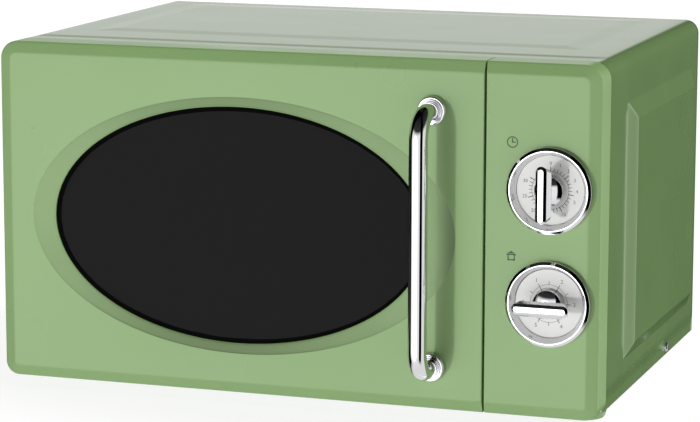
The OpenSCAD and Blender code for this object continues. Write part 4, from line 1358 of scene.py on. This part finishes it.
@dataclass
class Turntable:
    """The glass plate with its raised rim and moulded rings."""

    def build(self) -> None:
        """Makes the plate with its coupling lugs."""
        low, high = extent("turntable_plate")
        centre = ((low[0] + high[0]) / 2, (low[1] + high[1]) / 2, low[2] + 4.0)
        out = (high[0] - low[0]) / 2
        corners = [(0, 0, 0), (out - 14, 0, 1.0), (out - 12, 0.4, 2.0), (out, 7.2, 0.8), (out, 8.6, 0.6),
                   (out - 1.5, 9.0, 0.7), (out - 13, 4.6, 3.0)]
        for ring in (0.72, 0.5, 0.28):
            corners += [(out * ring + 1.2, 4.4, 0.5), (out * ring, 5.0, 0.6), (out * ring - 1.2, 4.4, 0.5)]
        skin = Skin()
        skin.lathe(fillet(corners + [(0, 4.4, 0)], 3), centre, Axis.UP, 128, wrap=False)
        for angle in (60, 180, 300):
            turn = math.radians(angle)
            lug = []
            for height, inset in ((0.2, 0.0), (-3.4, 0.0), (-4.0, 0.6)):
                ring = [(13 + inset, -4 + inset), (19 - inset, -4 + inset), (19 - inset, 4 - inset),
                        (13 + inset, 4 - inset)]
                lug.append([(centre[0] + px * math.cos(turn) - py * math.sin(turn),
                             centre[1] + px * math.sin(turn) + py * math.cos(turn), centre[2] + height)
                            for px, py in ring])
            skin.loft(lug, caps=True)
        fit(skin.make("glass_turntable", CLEAR_GLASS), "turntable", "clear_glass", "turntable_plate")


@dataclass
class LatchSpring:
    """The small coil spring that holds the latch down."""

    wire: float = 0.5
    turns: int = 7

    def build(self) -> None:
        """Makes one coil through the CAD spring's rings."""
        low, high = extent("latch_spring")
        x, y = (low[0] + high[0]) / 2, (low[1] + high[1]) / 2
        radius = (high[0] - low[0]) / 2 - self.wire
        steps = 24 * self.turns
        rise = (high[2] - low[2] - 2 * self.wire) / steps
        skin, rings = Skin(), []
        for step in range(steps + 1):
            a = 2 * math.pi * step / 24
            out = np.array((math.cos(a), math.sin(a), 0.0))
            spot = np.array((x, y, low[2] + self.wire + rise * step)) + out * radius
            rings.append([spot + self.wire * (out * math.cos(t) + np.array((0, 0, 1.0)) * math.sin(t))
                          for t in (2 * math.pi * i / 8 for i in range(8))])
        skin.loft(rings, caps=True)
        fit(skin.make("latch_coil_spring", BRIGHT_STEEL), "door", "zinc_steel", "latch_spring")


def dress_frame() -> None:
    """Gives every CAD node that still shows its finish."""
    for part in frame["record"]["subparts"]:
        node = frame["nodes"][part["node"]]
        if node.hide_render:
            continue
        finish = NODE_FINISH.get(part["node"], SLOT_FINISH[part["material_slot"]])
        node.data.materials.clear()
        node.data.materials.append(finish.material())
        LOG.info("%s: %s", part["node"], finish.name)


# ---- Studio ----

@dataclass(frozen=True)
class View:
    """The camera: its place in metres and its turns in degrees."""

    place: tuple[float, float, float] = (0.68568, -2.01716, 0.48992)
    yaw: float = 18.83
    pitch: float = 9.905
    roll: float = 0.1165
    lens: float = 148.76
    shift: Pair = (-0.00186, 0.0033)

    def build(self) -> None:
        """Makes the camera."""
        yaw, pitch, roll = (math.radians(v) for v in (self.yaw, self.pitch, self.roll))
        ahead = Vector((-math.sin(yaw) * math.cos(pitch), math.cos(yaw) * math.cos(pitch), -math.sin(pitch)))
        right = Vector((math.cos(yaw), math.sin(yaw), 0.0))
        up = right.cross(ahead)
        right = right * math.cos(roll) + up * math.sin(roll)
        up = right.cross(ahead)
        camera = bpy.data.cameras.new("camera")
        camera.lens, camera.sensor_width = self.lens, 36.0
        camera.shift_x, camera.shift_y = self.shift
        camera.clip_end = 50.0
        rig = bpy.data.objects.new("camera", camera)
        rig.matrix_world = Matrix.Translation(self.place) @ Matrix((right, up, -ahead)).transposed().to_4x4()
        bpy.context.scene.collection.objects.link(rig)
        bpy.context.scene.camera = rig


@dataclass(frozen=True)
class Studio:
    """A pale sweep, a room that only polished trim reflects, a key light and a broad top light."""

    room: float = 0.47
    slope: tuple[float, float, float] = (0.2, 0.45, 0.05)
    key_turn: float = -13.0
    key_lift: float = -3.4
    key_range: float = 1.6
    key_size: float = 0.07
    key_power: float = 12.0
    key_target: tuple[float, float, float] = (0.0, -0.14, 0.13)
    top_aim: tuple[float, float, float] = (0.692, 0.221, 0.687)
    top_power: float = 2.5
    floor_glow: float = 0.84
    floor_reach: float = 9000.0
    glow_turn: float = -19.0
    glow_lift: float = -12.0
    glow_edge: float = 0.84
    glow_core: float = 0.99
    glow_power: float = 2.75

    # Degrees and brightness of the walls round the room, and of the room's height
    AROUND = ((-180, 0.0), (-173, 0.0), (-168, 0.85), (-136, 0.85), (-130, 0.0), (-66, 0.0), (-62, 1.0),
              (37, 1.0), (40, 0.0), (69, 0.0), (73, 0.9), (148, 0.9), (155, 1.8), (161, 0.0), (180, 0.0))
    ABOVE = ((-90, 0.8), (-20, 1.0), (17, 1.0), (30, 0.04), (90, 0.0))
    BELOW = ((-90, 0.85), (-48, 0.85), (-34, 0.0))

    @staticmethod
    def aim(turn: float, lift: float) -> Vector:
        """Direction at a turn to the right of the front and a lift above level, in degrees."""
        across, up = math.radians(turn), math.radians(lift)
        return Vector((math.sin(across) * math.cos(up), -math.cos(across) * math.cos(up), math.sin(up)))

    def floor(self) -> None:
        """A wide pale floor that polished trim doesn't reflect."""
        finish = Finish("pale_paper_sweep", "#808080", 0.9, grain_mm=0.6, relief_mm=0.0, variation=0.004)
        size = self.floor_reach
        skin = Skin()
        skin.loft([[(-size, y, -0.05), (size, y, -0.05)] for y in (-size, size)], closed=False)
        floor = skin.make("paper_floor", finish)
        if floor.data.polygons[0].normal.z < 0:
            floor.data.flip_normals()
        shader = [n for n in floor.data.materials[0].node_tree.nodes if n.type == "BSDF_PRINCIPLED"][0]
        shader.inputs["Emission Color"].default_value = (1, 1, 1, 1)
        shader.inputs["Emission Strength"].default_value = self.floor_glow
        floor.visible_glossy = False

    def key(self) -> None:
        """The key light, low and to the left of the door's face."""
        away = self.aim(self.key_turn, self.key_lift)
        light = bpy.data.lights.new("key", "AREA")
        light.shape, light.size, light.energy = "DISK", self.key_size, self.key_power
        rig = bpy.data.objects.new("key", light)
        rig.location = Vector(self.key_target) + away * self.key_range
        rig.rotation_euler = away.to_track_quat("Z", "Y").to_euler()
        rig.visible_glossy = False
        bpy.context.scene.collection.objects.link(rig)

    def top(self) -> None:
        """A broad soft light from above and from the controls' side, which misses the front."""
        light = bpy.data.lights.new("top", "SUN")
        light.energy, light.angle = self.top_power, math.radians(34)
        rig = bpy.data.objects.new("top", light)
        rig.rotation_euler = Vector(self.top_aim).to_track_quat("Z", "Y").to_euler()
        rig.visible_glossy = False
        bpy.context.scene.collection.objects.link(rig)

    @staticmethod
    def ramp(tree: bpy.types.NodeTree, value: bpy.types.NodeSocket, low: float, high: float,
             stops: Sequence[Pair]) -> bpy.types.NodeSocket:
        """A curve through stops, as a grey ramp.

        Args:
            tree: the tree.
            value: the input.
            low: input at the ramp's start.
            high: input at the ramp's end.
            stops: input and grey of each stop, in order.

        Returns:
            The grey socket.
        """
        share = add_node(tree, "ShaderNodeMapRange", {"Value": value, "From Min": low, "From Max": high})
        node = add_node(tree, "ShaderNodeValToRGB", {0: share.outputs[0]})
        band = node.color_ramp
        while len(band.elements) > 1:
            band.elements.remove(band.elements[-1])
        for index, (at, grey) in enumerate(stops):
            spot = (at - low) / (high - low)
            element = band.elements[0] if index == 0 else band.elements.new(spot)
            element.position = spot
            element.color = (grey, grey, grey, 1)
        return node.outputs[0]

    def world(self) -> None:
        """Even light for matt surfaces, and a structured room for polished ones."""
        world = bpy.data.worlds.new("studio")
        bpy.context.scene.world = world
        world.use_nodes = True
        tree = world.node_tree
        tree.nodes.clear()
        along = add_node(tree, "ShaderNodeTexCoord").outputs["Generated"]
        parts = add_node(tree, "ShaderNodeSeparateXYZ", {0: along})
        x, y, _ = parts.outputs
        toward = add_node(tree, "ShaderNodeMath", {0: y, 1: -1.0}, operation="MULTIPLY").outputs[0]
        turn = add_node(tree, "ShaderNodeMath", {0: x, 1: toward}, operation="ARCTAN2").outputs[0]
        degrees = add_node(tree, "ShaderNodeMath", {0: turn}, operation="DEGREES").outputs[0]
        lift = add_node(tree, "ShaderNodeMath", {0: parts.outputs[2]}, operation="ARCSINE").outputs[0]
        height = add_node(tree, "ShaderNodeMath", {0: lift}, operation="DEGREES").outputs[0]
        around = self.ramp(tree, degrees, -180, 180, self.AROUND)
        above = self.ramp(tree, height, -90, 90, self.ABOVE)
        sides = add_node(tree, "ShaderNodeMath", {0: around, 1: above}, operation="MULTIPLY").outputs[0]
        below = self.ramp(tree, height, -90, 90, self.BELOW)
        room = add_node(tree, "ShaderNodeMath", {0: sides, 1: below}, operation="MAXIMUM").outputs[0]
        aim = self.aim(self.glow_turn, self.glow_lift)
        near = add_node(tree, "ShaderNodeVectorMath", {0: along, 1: aim}, operation="DOT_PRODUCT").outputs[1]
        glow = add_node(tree, "ShaderNodeMapRange", {
            "Value": near, "From Min": self.glow_edge, "From Max": self.glow_core, "To Max": self.glow_power},
            interpolation_type="SMOOTHSTEP").outputs[0]
        bright = add_node(tree, "ShaderNodeMath", {0: room, 1: glow}, operation="ADD").outputs[0]
        polished = add_node(tree, "ShaderNodeBackground", {0: bright, 1: 1.0})
        lean = {0: along, 1: self.slope}
        slope = add_node(tree, "ShaderNodeVectorMath", lean, operation="DOT_PRODUCT").outputs[1]
        soft = add_node(tree, "ShaderNodeMath", {0: slope, 1: self.room}, operation="ADD").outputs[0]
        even = add_node(tree, "ShaderNodeBackground", {0: (1, 1, 1, 1), 1: soft})
        plain = add_node(tree, "ShaderNodeBackground", {0: (1, 1, 1, 1), 1: 1.0})
        ray = add_node(tree, "ShaderNodeLightPath").outputs
        mix = add_node(tree, "ShaderNodeMixShader", {0: ray["Is Glossy Ray"], 1: even.outputs[0],
                                                     2: polished.outputs[0]})
        seen = add_node(tree, "ShaderNodeMixShader", {0: ray["Is Camera Ray"], 1: mix.outputs[0],
                                                      2: plain.outputs[0]})
        add_node(tree, "ShaderNodeOutputWorld", {0: seen.outputs[0]})

    def build(self) -> None:
        """Makes the whole studio."""
        self.floor()
        self.key()
        self.top()
        self.world()
        bpy.context.scene.view_settings.view_transform = "Standard"


def main() -> None:
    """Builds the object's pieces in order, then the studio."""
    logging.basicConfig(level=logging.INFO, format="%(name)s %(message)s")
    for builder in (
            CoverShell(), Screws(), Feet(), CordBush(), DoorMoulding("door_frame", True),
            PanelMoulding("control_panel", False), DoorScreen(), Handle(), Dial("timer", True),
            Dial("power", False), DialRings(), Turntable(), LatchSpring()):
        builder.build()
    dress_frame()
    View().build()
    Studio().build()


if __name__ == "__main__":
    main()
